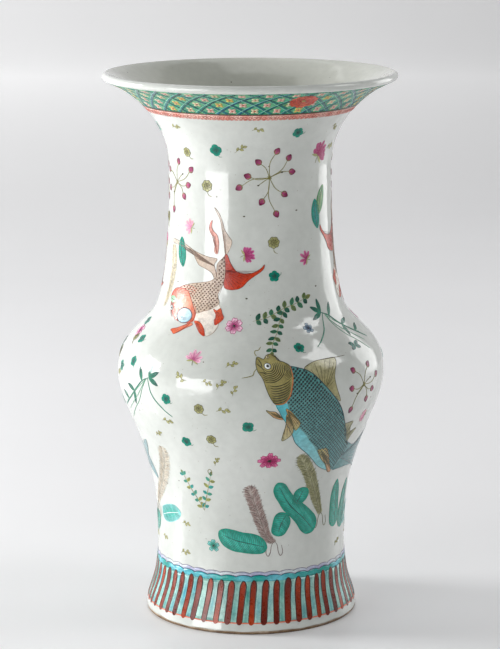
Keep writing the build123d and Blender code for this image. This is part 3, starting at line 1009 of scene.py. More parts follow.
def goldfish(art, spot):
    """A goldfish with a round eye and long tail lobes, nosing down to the left."""
    vermilion, flame, flesh = srgb(190, 56, 26), srgb(216, 94, 54), srgb(232, 146, 114)
    ray = srgb(150, 44, 24)
    for outline, root, near, far, line, rays, lift in (
            (GOLDFISH_BACK_FIN, (16, 30), srgb(176, 152, 132), srgb(214, 204, 188),
             srgb(120, 98, 84), 14, 0.2),
            (GOLDFISH_GREY_TAIL, (22, 39), srgb(190, 168, 148), srgb(226, 216, 206),
             srgb(146, 122, 108), 9, 0.2),
            (GOLDFISH_PINK_TAIL, (15, 38), srgb(214, 170, 150), srgb(214, 130, 120),
             srgb(170, 96, 84), 7, 0.2),
            (GOLDFISH_RED_TAIL, (20, 28), srgb(166, 34, 8), srgb(202, 62, 22), srgb(108, 20, 8), 14, 0.24)):
        fin(art, spot, outline, root, near, far, line, rays, IRON, lift)
    art.fill(spot, GOLDFISH_BELLY, fade(srgb(238, 226, 214), srgb(214, 210, 200), (4, -10), (20, -20)),
             IRON, 0.14)
    art.stroke(spot, GOLDFISH_BELLY[5:11], 0.4, srgb(176, 150, 128), 0.2)
    art.fill(spot, GOLDFISH_BODY, fade(srgb(200, 180, 160), srgb(166, 144, 126), (-10, 10), (20, 30)), IRON,
             0.18)
    marks_inside(art, spot, GOLDFISH_BODY, 3.3, 0.82, srgb(92, 62, 46), 20)
    edge = smooth_line(GOLDFISH_BODY, True)
    for step in range(16):
        path = smooth_line([(-22 + 3.2 * step, -12), (-16 + 3.2 * step, 10), (-8 + 3.2 * step, 40)])
        line_inside(art, spot, path, edge, 6, 3, 0.22, srgb(140, 112, 92), 0.22, 2.0)
    art.stroke(spot, GOLDFISH_BODY, 0.34, srgb(134, 104, 84), 0.24, closed=True)
    art.fill(spot, GOLDFISH_HEAD, glow(flesh, vermilion, (-10, 0), 24), IRON, 0.24)
    art.stroke(spot, GOLDFISH_HEAD, 0.4, ray, 0.29, closed=True)
    for step in range(5):
        arc_stroke(art, spot, (-11, -5), 11 + 2.2 * step, 60, 118 + 6 * step, 0.35, vermilion, 0.9)
    for step in range(4):
        arc_stroke(art, spot, (-14, -2), 12.5 + 1.5 * step, 160 + 4 * step, 228, 0.45, srgb(168, 46, 24),
                   1.0)
    for step in range(4):
        arc_stroke(art, spot, (-12, -10), 8.5 + 1.2 * step, -48, 60 - 6 * step, 0.4, flame, 1.1)
    oval = [along(a, 1) * (8, 6.3) + (-11, -11.5) for a in range(0, 360, 30)]
    art.fill(spot, oval, glow(srgb(226, 238, 240), srgb(150, 190, 204), (-12, -10), 8), IRON, 0.32)
    art.stroke(spot, oval, 0.8, srgb(96, 86, 92), 0.36, closed=True)
    art.fill(spot, [along(a, 1) * (5.6, 4.1) + (-11, -11.3) for a in range(0, 360, 30)], ICE, IRON, 0.36)
    for step in range(3):
        arc_stroke(art, spot, (-11, -11), 5.4 - 1.1 * step, 195, 320, 0.35, srgb(86, 104, 122), 0.75,
                   lift=0.41)
    eye(art, spot, (-28.5, -7.5), 1.9, WHITE)
    art.fill(spot, [(-32.5, 0.5), (-30, 2.5), (-25.5, 1.8), (-24.5, -1.5), (-28, -3.2), (-31.5, -2)],
             srgb(150, 196, 160), CLEAR, 0.3)
    art.stroke(spot, [(-32.5, 0.5), (-29, -0.6), (-25, -1.2)], 0.5, srgb(110, 60, 70), 0.36)
    for outline, root, near, far in (
            (GOLDFISH_LEFT_FIN, (-2, -17), flesh, flame),
            (GOLDFISH_MIDDLE_FIN, (1.5, -15.5), flame, vermilion),
            (GOLDFISH_RIGHT_FIN, (18, -5), flame, vermilion)):
        fin(art, spot, outline, root, near, far, ray, 6, IRON, 0.26, 0.3)


# ---------------------------------------------------------------- what is painted where

def paint_fish():
    """Three carp round the belly and four goldfish round the neck."""
    carp_art = Painting("carp_enamel", "translucent_enamel")
    for degrees, arc, scale, flip in ((20, 203.8, 1, 1), (126, 199, 0.95, 1), (232, 194, 0.92, 1)):
        carp(carp_art, Spot(degrees, arc, 0, scale, flip))
    carp_art.finish()
    goldfish_art = Painting("goldfish_enamel", "iron_red_enamel")
    for degrees, arc, turn, scale, flip in (
            (-35, 288, 0, 1, 1), (92, 306, -14, 0.95, -1), (192, 300, 6, 0.95, -1),
            (246, 288, -20, 0.7, 1)):
        goldfish(goldfish_art, Spot(degrees, arc, turn, scale, flip))
    goldfish_art.finish()


def paint_plants():
    """Feathery weeds and broad leaves that stand round the lower body."""
    weeds = Painting("water_weed_enamel", "iron_red_enamel")
    mauve_tones = (srgb(172, 160, 152), srgb(106, 84, 80))
    olive_tones = (srgb(170, 168, 134), srgb(92, 92, 56))
    grey_tones = (srgb(198, 194, 182), srgb(142, 132, 116))
    left_weed = [(2, 4), (0, -4), (-4, -15), (-11, -28), (-21.5, -41), (-33, -55.5)]
    middle_weed = [(-2, 5), (1, -5), (4.5, -17), (8.5, -29), (12.5, -40), (19, -46.5)]
    right_weed = [(-4, 5), (1, -3), (7.5, -13), (14.5, -29), (20, -43), (25, -54)]
    for degrees, arc, spine, width, tones in (
            (0, 121.9, middle_weed, 12.5, mauve_tones), (27.5, 148.4, right_weed, 13, olive_tones),
            (-51.25, 150.7, left_weed, 14, grey_tones), (118, 140, right_weed, 14, mauve_tones),
            (150, 128, middle_weed, 13, olive_tones), (206, 146, left_weed, 15, olive_tones),
            (240, 130, middle_weed, 14, mauve_tones), (270, 136, left_weed, 13, olive_tones)):
        spot = Spot(degrees, arc)
        feather_weed(weeds, spot, spine, width, *tones)
        foot = np.array(spine[-1])
        for side in (-1, 1):
            curl = foot + [(0, 2), (side * 2.4, -2), (side * 3.4, -8), (side * 5.2, -11), (side * 7, -8),
                           (side * 6, -2)]
            weeds.stroke(spot, curl, 0.5, tones[1], 0.2)
    weeds.finish()

    leaves = Painting("broad_leaf_enamel", "translucent_enamel")
    cross = [
        (-24, 18), (-21, 24), (-14, 22.5), (-8.5, 15), (-4, 9.5), (1.5, 4.5), (8.5, -1), (15, -7),
        (20.5, -13), (22.5, -20), (19, -27), (11.5, -29), (5, -25), (0, -17.5), (-5.5, -11), (-13, -3.5),
        (-18.5, 5), (-22.5, 11.5),
    ]
    upper = [(-5, 8), (-3, 14), (3, 17), (9, 15.5), (11, 10.5), (8, 4), (1, 0), (-5, 2)]
    lower = [(-20.5, -8), (-16, -5), (-10, -6.5), (-6, -12), (-6.5, -19), (-11.5, -26.5), (-18, -27.5),
             (-23, -23.5), (-22.5, -15.5)]
    lying = [
        (-22, -1), (-22, 6), (-16, 9), (-8, 8), (0, 6), (8, 5), (15, 2.5), (20.5, -3), (22, -9.5),
        (18, -14), (9, -14.5), (0, -13.5), (-9, -12), (-17, -8),
    ]
    upright = [
        (-6, 6.5), (-4.5, 14), (0, 19.5), (4, 14), (6.5, 6.5), (8.5, -4.5), (10.5, -15.5), (6, -21.5),
        (0.5, -22.5), (-4, -18.5), (-5.5, -9),
    ]
    split = [(-14, -3), (-12, 2), (-3.5, 5.5), (5, 7.5), (10.5, 7), (15.5, 3), (14.5, -1.5), (8.5, -6),
             (-1.5, -9.5), (-10.5, -9)]
    for degrees, flip in ((27.5, 1), (132, -1), (222, 1)):
        spot = Spot(degrees, 106.3, 0, 0.92, flip)
        broad_leaf(leaves, spot, upper, [(-1, 2), (2, 8), (5, 14)])
        broad_leaf(leaves, spot, lower, [(-10, -8), (-14, -15), (-17, -24)])
        broad_leaf(leaves, spot, cross, [(17, -24), (6, -12), (-8, 2), (-19, 20)])
    for degrees, flip in ((-5, 1), (102, -1), (188, 1), (272, -1)):
        broad_leaf(leaves, Spot(degrees, 79.8, 0, 0.9, flip), lying,
                   [(19, -8), (8, -5), (-6, -2), (-19, 3)])
    for degrees, arc, turn in ((58, 101.9, 0), (71, 98, -12), (168, 104, 8), (252, 100, -6)):
        broad_leaf(leaves, Spot(degrees, arc, turn), upright, [(4, -20), (3, -6), (0, 16)])
    for degrees, arc in ((-57.5, 93.1), (81, 86), (206, 92)):
        broad_leaf(leaves, Spot(degrees, arc), split, [(-12, -5), (0, -1), (13, 2)],
                   (PALE_TURQUOISE, PALE_TEAL), WHITE)
    slim = [(0, -12), (-4.2, -6), (-4.8, 1), (-2.6, 8), (1.5, 12.5), (4.2, 7), (4.9, 0), (3.6, -7)]
    green = (srgb(60, 132, 74), srgb(168, 190, 120))
    for degrees, arc, turn, tones in (
            (57.5, 369, -14, green), (51.5, 358, 10, (TEAL, srgb(60, 170, 176))),
            (-53.5, 327, 12, (TEAL, PALE_TEAL)), (139, 368, 30, green), (143, 380, -20, (TEAL, PALE_TEAL)),
            (216, 330, 10, (TEAL, PALE_TEAL)), (236, 376, -25, green)):
        broad_leaf(leaves, Spot(degrees, arc, turn), slim, [(0, -11), (-0.6, 0), (1, 11)], tones)
    leaves.finish()


def paint_flowers():
    """Sprays of buds, open blossoms and flowers seen from the side."""
    art = Painting("flower_enamel", "iron_red_enamel")
    umbel = [(-8, 12), (-16, 1), (-23, -7), (-5.5, -18), (5, -28), (5, 20.5), (15.5, 14.5), (18, 4),
             (11.5, -13)]
    spray = [(-12, 13), (-15, -1), (-13, -18), (8, 14), (13, -6), (6, -12), (21, 4)]
    for degrees, arc, turn, flip, buds in (
            (13.25, 390.8, 0, 1, umbel), (56, 209.6, 0, 1, spray), (-62, 383, 20, 1, spray),
            (104, 386, 40, -1, umbel), (186, 394, 75, 1, umbel), (264, 388, -30, -1, umbel)):
        bud_spray(art, Spot(degrees, arc, turn, 1, flip), buds, ((10.5, 4), (-9, -6)))
    for degrees, arc, reach, petals, start, deep, pale in (
            (-9.5, 271.6, 7.2, 6, 0, CERISE, PALE_PINK),
            (33.75, 266.7, 4.6, 5, 10, srgb(70, 96, 124), srgb(176, 200, 210)),
            (100, 262, 7.0, 6, 20, CERISE, PALE_PINK),
            (145, 338, 6.6, 6, 5, MAGENTA, PALE_PINK),
            (232, 312, 6.6, 6, 15, MAGENTA, PALE_PINK),
            (284, 252, 6.6, 5, 25, CERISE, PALE_PINK),
            (-23, 72.2, 5.4, 5, 0, TEAL, PALE_TURQUOISE), (122, 70, 5.4, 5, 12, TEAL, PALE_TURQUOISE),
            (262, 74, 5.4, 5, 30, TEAL, PALE_TURQUOISE)):
        blossom(art, Spot(degrees, arc), reach, petals, deep, pale, start)
    for degrees, arc, reach in ((9.25, 149.8, 9.4), (104, 168, 9), (196, 176, 8.5)):
        spot = Spot(degrees, arc)
        for start in (0, 22):
            blossom(art, spot, reach * (1 - start / 110), 8, MAGENTA, srgb(222, 120, 168), start,
                    squash=0.78, width=0.42)
    for degrees, arc, reach, turn, petals, deep, pale in (
            (53.25, 405.4, 12, -35, 8, WINE, srgb(184, 74, 128)),
            (-3.75, 328.8, 8, -78, 8, WINE, srgb(196, 92, 148)),
            (41.25, 323, 7.5, 60, 5, srgb(160, 44, 100), srgb(204, 110, 156)),
            (-44.75, 348.3, 8, 70, 6, ROSE, PINK),
            (-26.5, 237.9, 9, -12, 6, srgb(176, 64, 120), srgb(240, 196, 214)),
            (63.75, 179, 7, 90, 8, ROSE, PINK), (122, 352, 9, 30, 5, MAGENTA, ROSE),
            (150, 240, 8, -60, 8, MAGENTA, ROSE),
            (226, 372, 9, 80, 5, MAGENTA, ROSE), (236, 290, 8, -20, 8, srgb(178, 60, 110), ROSE),
            (276, 330, 8, 45, 8, MAGENTA, ROSE)):
        side_blossom(art, Spot(degrees, arc, turn), reach, deep, pale, petals)
    art.finish()


def paint_leaves():
    """Small leaves and clovers that drift between the fish."""
    art = Painting("small_leaf_enamel", "translucent_enamel")
    for degrees, arc, reach, lobes in (
            (30, 428.9, 4.8, 5), (-23, 413.4, 5.2, 4), (15.75, 311.5, 4.6, 5), (24, 249.5, 4.6, 5),
            (-38, 203.4, 4.6, 5), (-1.25, 183.9, 5.0, 4), (-32, 165.3, 4.6, 5), (-66, 246.8, 4.4, 4),
            (-61.75, 227.3, 4.4, 5), (-73.75, 219.3, 4.6, 5), (96, 428, 4.8, 5), (120, 404, 5.0, 4),
            (157, 372, 4.6, 5), (158, 420, 4.8, 4), (212, 416, 5.0, 5), (228, 404, 4.8, 4),
            (256, 348, 4.6, 5), (280, 428, 4.8, 4), (128, 300, 4.6, 4), (138, 250, 4.6, 5),
            (200, 256, 4.4, 4), (282, 262, 4.4, 5), (92, 222, 4.6, 5), (212, 196, 4.4, 5),
            (212, 146, 4.8, 4), (276, 186, 4.6, 4)):
        clover(art, Spot(degrees, arc, random.uniform(0, 90)), reach, lobes)
    for degrees, arc, turn in ((58, 242.8, 0), (136, 318, 25), (268, 232, 60)):
        spot = Spot(degrees, arc, turn)
        for heading in (25, 155, 205, 335):
            leaf(art, spot, (0, 0), heading, 7.4, 4.2, TEAL, DEEP_TEAL, 2)
    for degrees, arc, reach in (
            (-47.25, 409.4, 4.0), (-31.25, 383.3, 4.8), (16, 338.5, 4.8), (-22.25, 198.5, 4.2),
            (-18.5, 170.2, 4.2), (-73.75, 245.9, 3.8), (112, 330, 4.4), (204, 372, 4.4), (248, 426, 4.4),
            (280, 352, 4.4), (134, 232, 4.2), (216, 246, 4.2), (274, 228, 4.2), (88, 176, 4.2),
            (228, 170, 4.2), (146, 160, 4.2)):
        round_leaf(art, Spot(degrees, arc, jitter(40)), reach)
    for degrees, arc, turn in (
            (-50, 432, 10), (4.5, 432.9, 0), (-6.25, 414.7, 30), (62.5, 429.8, -20), (68, 411.2, 0),
            (-30.5, 222.9, 150), (-18.75, 220.2, -20), (-12.5, 219.3, 40), (-8.5, 235.7, 20),
            (-6.75, 215, 60), (-11.75, 198.1, 0), (-40, 183, 0), (-49.25, 167.5, 30), (-17.5, 148.4, 60),
            (-42.5, 87, 0), (-43.75, 62, 10), (65, 64.2, 30), (-65.75, 68.7, 0), (88, 400, 20),
            (108, 432, 0), (132, 424, -30), (152, 396, 15), (190, 428, 0), (222, 436, 20), (262, 426, -10),
            (272, 352, 0), (130, 206, 0), (150, 226, 30), (176, 214, -20), (204, 222, 10), (248, 204, 0),
            (282, 212, 20), (96, 196, 20), (128, 178, 0), (184, 132, 30), (216, 118, 0), (268, 120, 15),
            (88, 66, 0), (150, 68, 20), (212, 64, 0), (276, 66, 10)):
        sprig(art, Spot(degrees, arc, turn + jitter(8)), random.uniform(4.2, 5.6))
    for degrees, arc in ((33.5, 363.3), (-4.25, 360), (-2.5, 294), (47, 300), (150, 362), (246, 336)):
        art.dot(Spot(degrees, arc), (0, 0), 0.9, DARK_OLIVE, squash=0.6)
    art.finish()


def paint_twigs():
    """Leafy twigs, trailing stems with narrow leaves, and two pale weeds on the neck."""
    art = Painting("twig_enamel", "translucent_enamel")
    dark = (srgb(70, 132, 98), srgb(40, 104, 82), srgb(116, 138, 84))
    for degrees, arc, turn, flip in ((1.25, 275.6, 0, 1), (112, 266, 6, 1), (226, 252, -8, 1)):
        spot = Spot(degrees, arc, turn, 1, flip)
        twig(art, spot, [(0, 0), (12, 3), (24, 9), (34, 12), (45, 16)], 6.0, dark, 1.05)
        twig(art, spot, [(26, 9), (22, 0), (20, -9), (16, -20), (15, -28)], 5.4, dark, 1.05)
    for degrees, arc, flip in ((-28, 102, 1), (100, 104, -1)):
        spot = Spot(degrees, arc, 0, 1, flip)
        tones = (srgb(70, 178, 168), srgb(176, 180, 104), srgb(84, 176, 150))
        twig(art, spot, [(0, 0), (-5, 9), (-11, 18), (-17, 30)], 4.6, tones, 1.35)
        twig(art, spot, [(0, 0), (3, 12), (6, 22), (9, 32)], 4.6, tones, 1.35)
        art.stroke(spot, [(9, 32), (11, 36), (9.5, 38.5), (7.5, 36.5), (8.5, 33)], 0.5, OLIVE)
    for degrees, arc, flip in ((47, 278, 1), (-48, 218, -1), (158, 276, 1), (198, 216, -1)):
        spot = Spot(degrees, arc, 0, 1, flip)
        trail = [(0, 0), (9, -4), (20, -14), (34, -24), (50, -33)]
        art.stroke(spot, trail, 1.3, srgb(36, 110, 92))
        for start, heading in ((0, 150), (0, 205), (0, 100), (1, 70), (2, 20), (2, -80), (3, 30)):
            leaf(art, spot, trail[start], heading, 12, 4.0, srgb(60, 140, 112), DEEP_TEAL, 2)
        for bend in (4, 9, 14):
            art.stroke(spot, [(4, -2), (14, -6 - bend), (26, -14 - bend * 1.2), (40, -20 - bend * 1.6)],
                       0.6, srgb(90, 150, 120), taper=(1, 0.2))
        art.stroke(spot, [(2, 0), (-4, -14), (-14, -24), (-22, -30)], 1.0, srgb(36, 120, 96))
    for degrees, arc, turn in ((-65, 332, 0), (240, 352, 8)):
        spot = Spot(degrees, arc, turn)
        feather_weed(art, spot, [(0, 0), (3, -16), (2, -34), (-2, -53)], 9, srgb(206, 202, 186),
                     srgb(160, 148, 120))
    art.finish()


# ---------------------------------------------------------------- painted borders

# Arc lengths up the outside where the borders begin and end, and how many times each pattern repeats
LAPPET_LOW = 9.6
LAPPET_HIGH = 43.6
LAPPETS = 54
LAPPET_RADIUS = 84
LAPPET_TURNS = LAPPETS * 16
WAVE_LOW = 47.1
CREST_LOW = 50.0
WAVE_DEPTH = 1.5
WAVES = 40
SCROLLS = 150
SCROLL_LOW = 443.9
SCROLL_HIGH = 449.0
LATTICE_HIGH = 485.0
LATTICE_OPENINGS = 33
LATTICE_RISE = 8.4
LATTICE_ROW = 463.2
LATTICE_PHASE = 2.3
MEDALLION_ARC = 468.5


def slanted(spot, start, end, steps=9):
    """Local points from one (degrees, arc) to another, straight when the outline is unrolled."""
    share = np.linspace(0, 1, steps)
    arc = spot.arc + start[1] + (end[1] - start[1]) * share
    degrees = start[0] + (end[0] - start[0]) * share
    return np.stack((np.radians(degrees) * OUTER.radius(arc), arc - spot.arc), 1)


def scalloped(low, depth, count, phase=0.0):
    """Wavy edge of a band: rounded scallops above a low line."""
    def edge(theta):
        scallops = np.abs(np.sin(count * theta / 2 + phase)) ** 0.6
        return low + depth * scallops + 0.25 * np.sin(5 * theta)
    return edge


def paint_lappets():
    """Iron-red tongues between turquoise ones, under a wavy teal edge."""
    art = Painting("lappet_band_enamel", "lappet_enamel")
    pitch = 360 / LAPPETS
    wet = np.array([random.random() for _ in range(LAPPETS)])
    leans = [1.9 + jitter(0.5) for _ in range(LAPPETS)]
    lefts = [jitter(0.35) for _ in range(LAPPETS)]

    def gap_tone(theta, arc):
        """Turquoise pooled between tongues, paler at its edges."""
        lean = (arc - LAPPET_LOW) / (LAPPET_HIGH - LAPPET_LOW) * 1.9
        place = (np.degrees(theta) - lean) / pitch
        cell = np.floor(place).astype(int) % LAPPETS
        middle = 1.15 - np.abs((place % 1) - 0.5) * 3.0
        pool = np.clip(middle, 0, 1) * (0.45 + 0.55 * wet[cell])
        pool = pool * (0.75 + 0.25 * np.sin(arc / 4.5 + 9 * wet[cell]))
        green = wet[(cell * 7 + 3) % LAPPETS][..., None]
        deep = blend(srgb(60, 160, 184), srgb(28, 142, 130), green)
        pale = blend(srgb(180, 212, 194), PALE_TURQUOISE, 0.3 * green)
        return blend(pale, deep, pool[..., None])

    def edge_tone(theta, arc):
        """Blue and green in turn round the vase."""
        mixed = 0.5 + 0.5 * np.sin(11 * theta + 2 * np.sin(5 * theta))
        return blend(srgb(96, 184, 200), srgb(24, 150, 140), mixed[..., None])

    def wash_tone(theta, arc):
        """Pale violet and grey in turn."""
        mixed = 0.5 + 0.5 * np.sin(9 * theta + 1)
        return blend(srgb(200, 210, 214), srgb(176, 178, 206), mixed[..., None])

    wave = scalloped(WAVE_LOW, WAVE_DEPTH, WAVES)
    crest = scalloped(CREST_LOW, WAVE_DEPTH, WAVES, 0.3)
    art.band(LAPPET_LOW, LAPPET_HIGH, gap_tone, CLEAR, 0.12, LAPPET_TURNS, 12)
    art.band(LAPPET_HIGH, wave, edge_tone, CLEAR, 0.15, LAPPET_TURNS, 4)
    art.band(wave, crest, wash_tone, IRON, 0.07, LAPPET_TURNS, 3)
    art.band(wave, lambda theta: wave(theta) + 0.55, srgb(44, 62, 92), LINE, 0.2, LAPPET_TURNS, 2)
    art.band(crest, lambda theta: crest(theta) + 0.4, srgb(108, 104, 128), LINE, 0.16, LAPPET_TURNS, 2)
    art.band(LAPPET_LOW - 0.6, LAPPET_LOW + 0.3, CORAL, LINE, 0.2, LAPPETS * 8, 2)
    for index in range(LAPPETS):
        spot = Spot(index * pitch + lefts[index], LAPPET_LOW)
        width = 4.7 + jitter(0.4)
        shift = math.radians(leans[index]) * LAPPET_RADIUS
        height = LAPPET_HIGH - LAPPET_LOW + 0.6 + jitter(0.8)
        left, right = -width / 2, width / 2
        tongue = [(left, 0.2), (right, 0.2), (right + shift * 0.5, height * 0.5),
                  (right + shift * 0.93, height * 0.86), (right + shift - 0.6, height * 0.965),
                  (shift, height), (left + shift + 0.5, height * 0.965),
                  (left + shift * 0.93, height * 0.86), (left + shift * 0.5, height * 0.5)]
        fired = random.random()
        dark = blend(srgb(122, 34, 4), srgb(92, 18, 1), fired)
        bright = blend(srgb(172, 58, 12), srgb(124, 34, 4), fired)
        ends = ((0, 2), (shift, height)) if index % 3 else ((shift, height), (0, 2))
        art.fill(spot, tongue, fade(dark, bright, *ends), IRON, 0.24, step=0.8)
        art.stroke(spot, [(left, 0.2), (left + shift * 0.5, height * 0.5),
                          (left + shift * 0.93, height * 0.88), (shift, height + 0.3),
                          (right + shift * 0.97, height * 0.9), (right + shift * 0.5, height * 0.5),
                          (right, 0.2)], 0.9, srgb(46, 16, 8), 0.28)
    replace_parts(art.finish(), "lappet_border")


def paint_scroll():
    """A narrow pink band of small iron-red scrolls with a dark line above it."""
    art = Painting("scroll_band_enamel", "iron_red_enamel")

    def ground(theta, arc):
        """Darker and paler patches round the vase."""
        mixed = 0.5 + 0.5 * np.sin(23 * theta + 3 * np.sin(7 * theta))
        return blend(srgb(226, 158, 142), srgb(240, 204, 190), mixed[..., None])

    art.band(scalloped(SCROLL_LOW - 0.8, 0.8, SCROLLS), SCROLL_HIGH, ground, IRON, 0.1, 1200, 4)
    art.band(SCROLL_HIGH, SCROLL_HIGH + 1.2, srgb(96, 44, 30), LINE, 0.22, 360, 2)
    for index in range(SCROLLS):
        spot = Spot(index * 360 / SCROLLS + jitter(0.3), (SCROLL_LOW + SCROLL_HIGH) / 2)
        curl = [along(a, 0.5 + 1.3 * (200 - a) / 360) for a in range(200, -161, -45)]
        art.stroke(spot, curl, 0.5, IRON_RED, 0.2, step=0.5, taper=(0.6, 1))
        for hook, width in (([(-1.6, -2.2), (-0.8, -2.8), (0.4, -2.7), (1.6, -2.0)], 0.5),
                            ([(1.7, 2.2), (2.0, 0.6), (1.7, -1.0)], 0.4)):
            art.stroke(spot, hook, width, srgb(186, 70, 52))
    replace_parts(art.finish(), "scroll_border")


def paint_floret(art, spot, size, tones):
    """Four petals and a heart."""
    for heading in range(45, 405, 90):
        art.dot(spot, along(heading, size * 0.27), size * 0.25, tones[heading % 2], IRON, 0.22, 0.75,
                heading, 10)
    art.dot(spot, (0, 0), size * 0.13, tones[2], LINE, 0.26, sides=8)


def paint_medallion(art, degrees):
    """A red peony on the lattice with leaves beside it."""
    spot = Spot(degrees, MEDALLION_ARC)
    for heading, tones in ((205, (PALE_GREEN, LEAF_GREEN)), (335, (PALE_GREEN, TEAL)),
                           (25, (LEAF_GREEN, TEAL)),
                           (155, (LEAF_GREEN, TEAL))):
        leaf(art, spot, along(heading, 8), heading, 8, 5, *tones)
    for ring, reach, count in ((0, 12, 7), (1, 8.5, 6), (2, 5, 5)):
        for index in range(count):
            heading = index * 360 / count + ring * 25
            petal = turned(petal_outline(reach, reach * 0.95), heading, 0.85)
            deep = (srgb(206, 78, 44), srgb(222, 104, 66), srgb(186, 54, 26))[(index + ring) % 3]
            art.fill(spot, petal, glow(srgb(170, 52, 26), deep, (0, 0), reach), IRON,
                     0.3 + 0.03 * ring + 0.008 * index)
            art.stroke(spot, petal, 0.4, srgb(120, 28, 14), 0.34 + 0.03 * ring, closed=True)
    art.dot(spot, (0, 0), 1.6, srgb(150, 140, 70), LINE, 0.44)


def paint_lattice():
    """Crossed teal bands over green, each with a painted highlight along its left edge and painted shade
    along its right, with a floret in every opening and a few peonies.
    """
    art = Painting("lattice_band_enamel", "translucent_enamel")
    low, high = SCROLL_HIGH + 1.2, LATTICE_HIGH
    pitch = 360 / LATTICE_OPENINGS

    def ground(theta, arc):
        """Darker and paler patches round the vase."""
        mixed = 0.5 + 0.5 * np.sin(17 * theta + arc / 6) * np.sin(13 * theta - arc / 5)
        return blend(srgb(24, 140, 112), srgb(92, 168, 118), mixed[..., None])

    art.band(low, high, ground, CLEAR, 0.12, 720, 16)
    for index in range(LATTICE_OPENINGS):
        for way in (-1, 1):
            spot = Spot(LATTICE_PHASE + index * pitch, LATTICE_ROW)
            lean = way * pitch / (2 * LATTICE_RISE)
            ends = [(lean * (arc - LATTICE_ROW), arc - LATTICE_ROW) for arc in (low + 0.4, high - 0.6)]
            line = slanted(spot, *ends)
            tone = blend(srgb(16, 100, 118), srgb(0, 112, 98), random.uniform(0, 1))
            art.stroke(spot, line, 3.0, tone, 0.2, step=2.0, taper=(1, 1), kind=CLEAR)
            # Pale line along each band's left edge: painted highlight. Dark line along its right edge:
            # painted shade. Both stay on the same side all round the vase.
            art.stroke(spot, line - (1.7, 0), 0.5, srgb(140, 206, 174), 0.24, step=2.0)
            art.stroke(spot, line + (1.7, 0), 0.35, NIGHT_GREEN, 0.24, step=2.0)
    hearts = ((srgb(214, 190, 96), srgb(206, 198, 160), IRON_RED),
              (srgb(206, 198, 160), srgb(212, 176, 160), IRON_RED),
              (srgb(212, 204, 140), srgb(206, 180, 92), MAGENTA))
    for row in range(-1, 3):
        for index in range(LATTICE_OPENINGS):
            degrees = LATTICE_PHASE + (index + (row + 1) / 2) * pitch
            paint_floret(art, Spot(degrees, LATTICE_ROW + row * LATTICE_RISE), 7.2, random.choice(hearts))
    for degrees in (24, 144, 264):
        paint_medallion(art, degrees)
    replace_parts(art.finish(), "lattice_border")


# ---------------------------------------------------------------- glaze sheets and bare clay

def glaze_sheets():
    """Thick glaze outside, inside and under the base, with an uneven rolled edge at the foot."""
    full = OUTER.arc[-1]
    bulk = np.linspace(4.2, 475, 200)
    rows = np.concatenate((bulk, np.linspace(476.5, full, 32)))

    def outside(theta):
        edge = GLAZE_LINE + 0.35 * np.sin(7 * theta) * np.sin(3 * theta + 1) + 0.2 * np.sin(23 * theta)
        roll = edge + np.array([[0.0, 0.1, 0.3, 0.6, 1.0]])
        return np.hstack((roll, np.broadcast_to(rows, (len(theta), len(rows)))))

    def outside_lift(theta, arc):
        lift = throwing(theta, arc)
        lip = np.clip((full - arc) / 9, 0, 1)
        lift = 0.12 + (lift - 0.12) * lip
        roll = np.array([-0.3, 0.02, 0.2, 0.3, 0.32])
        lift[:, :5] = roll
        return lift

    outer = revolved("glaze_outside", OUTER, outside, 400, outside_lift, GLAZE)
    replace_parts(outer, "outer_glaze")

    depth = CAVITY.arc[-1]
    inside_rows = np.concatenate((np.linspace(0, 6, 10), np.linspace(8, depth, 200)))

    def within(theta):
        return np.broadcast_to(inside_rows, (len(theta), len(inside_rows)))

    def within_lift(theta, arc):
        fade_in = np.clip(arc / 12, 0, 1)
        rings = 0.08 * np.sin(arc / 3.1 + 0.6 * np.sin(theta)) + 0.08 * np.sin(arc / 9 + 2)
        return 0.12 + fade_in * (0.08 + rings + 0.07 * np.sin(2 * theta + arc / 60))

    inner = revolved("glaze_inside", CAVITY, within, 360, within_lift, SHADED_INNER_GLAZE)
    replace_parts(inner, "inner_glaze")

    def under(theta):
        edge = RECESS.arc[-1] + 0.3 * np.sin(5 * theta + 2)
        share = np.linspace(0, 1, 60)
        return share * edge

    def under_lift(theta, arc):
        roll = np.clip((RECESS.arc[-1] - arc) / 1.2, 0, 1) ** 0.5
        return 0.1 + roll * (0.12 + 0.05 * np.sin(arc / 4) + 0.03 * np.sin(3 * theta + arc / 9))

    below = revolved("glaze_under_base", RECESS, under, 240, under_lift, SHADED_INNER_GLAZE)
    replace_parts(below, "recess_glaze")


def carry_over(names, material):
    """Gives CAD nodes that stay in view a worked material."""
    for name in names:
        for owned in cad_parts[name].material_slots:
            owned.material = material


# ---------------------------------------------------------------- floor, lights and camera

def stage_material():
    """Pale board, very slightly mottled, that glows softly away from the vase and more so on the left."""
    material, tree, shader, coordinates = new_material("pale_board", 0.34)
    board = mottle(tree, coordinates, 3, 2, srgb(228, 228, 229), srgb(231, 231, 232))
    tree.links.new(board, shader.inputs["Base Color"])
    distance = tree.nodes.new("ShaderNodeVectorMath")
    distance.operation = "LENGTH"
    tree.links.new(coordinates, distance.inputs[0])
    away = tree.nodes.new("ShaderNodeMapRange")
    tree.links.new(distance.outputs["Value"], away.inputs["Value"])
    away.inputs["From Min"].default_value = 0.3
    away.inputs["From Max"].default_value = 6.0
    far = ramp(tree, away.outputs["Result"], [(0.0, 0.07), (0.35, 0.24), (1.0, 0.65)])
    split = tree.nodes.new("ShaderNodeSeparateXYZ")
    tree.links.new(coordinates, split.inputs["Vector"])
    sideways = tree.nodes.new("ShaderNodeMapRange")
    tree.links.new(split.outputs["X"], sideways.inputs["Value"])
    sideways.inputs["From Min"].default_value = -1.2
    sideways.inputs["From Max"].default_value = 1.2
    tilt = ramp(tree, sideways.outputs["Result"], [(0.0, 1.0), (1.0, 0.4)])
    tree.links.new(mix(tree, "MULTIPLY", 1.0, far, tilt), shader.inputs["Emission Color"])
    shader.inputs["Emission Strength"].default_value = 1.0
    shader.inputs["Specular IOR Level"].default_value = 0.35
    return material


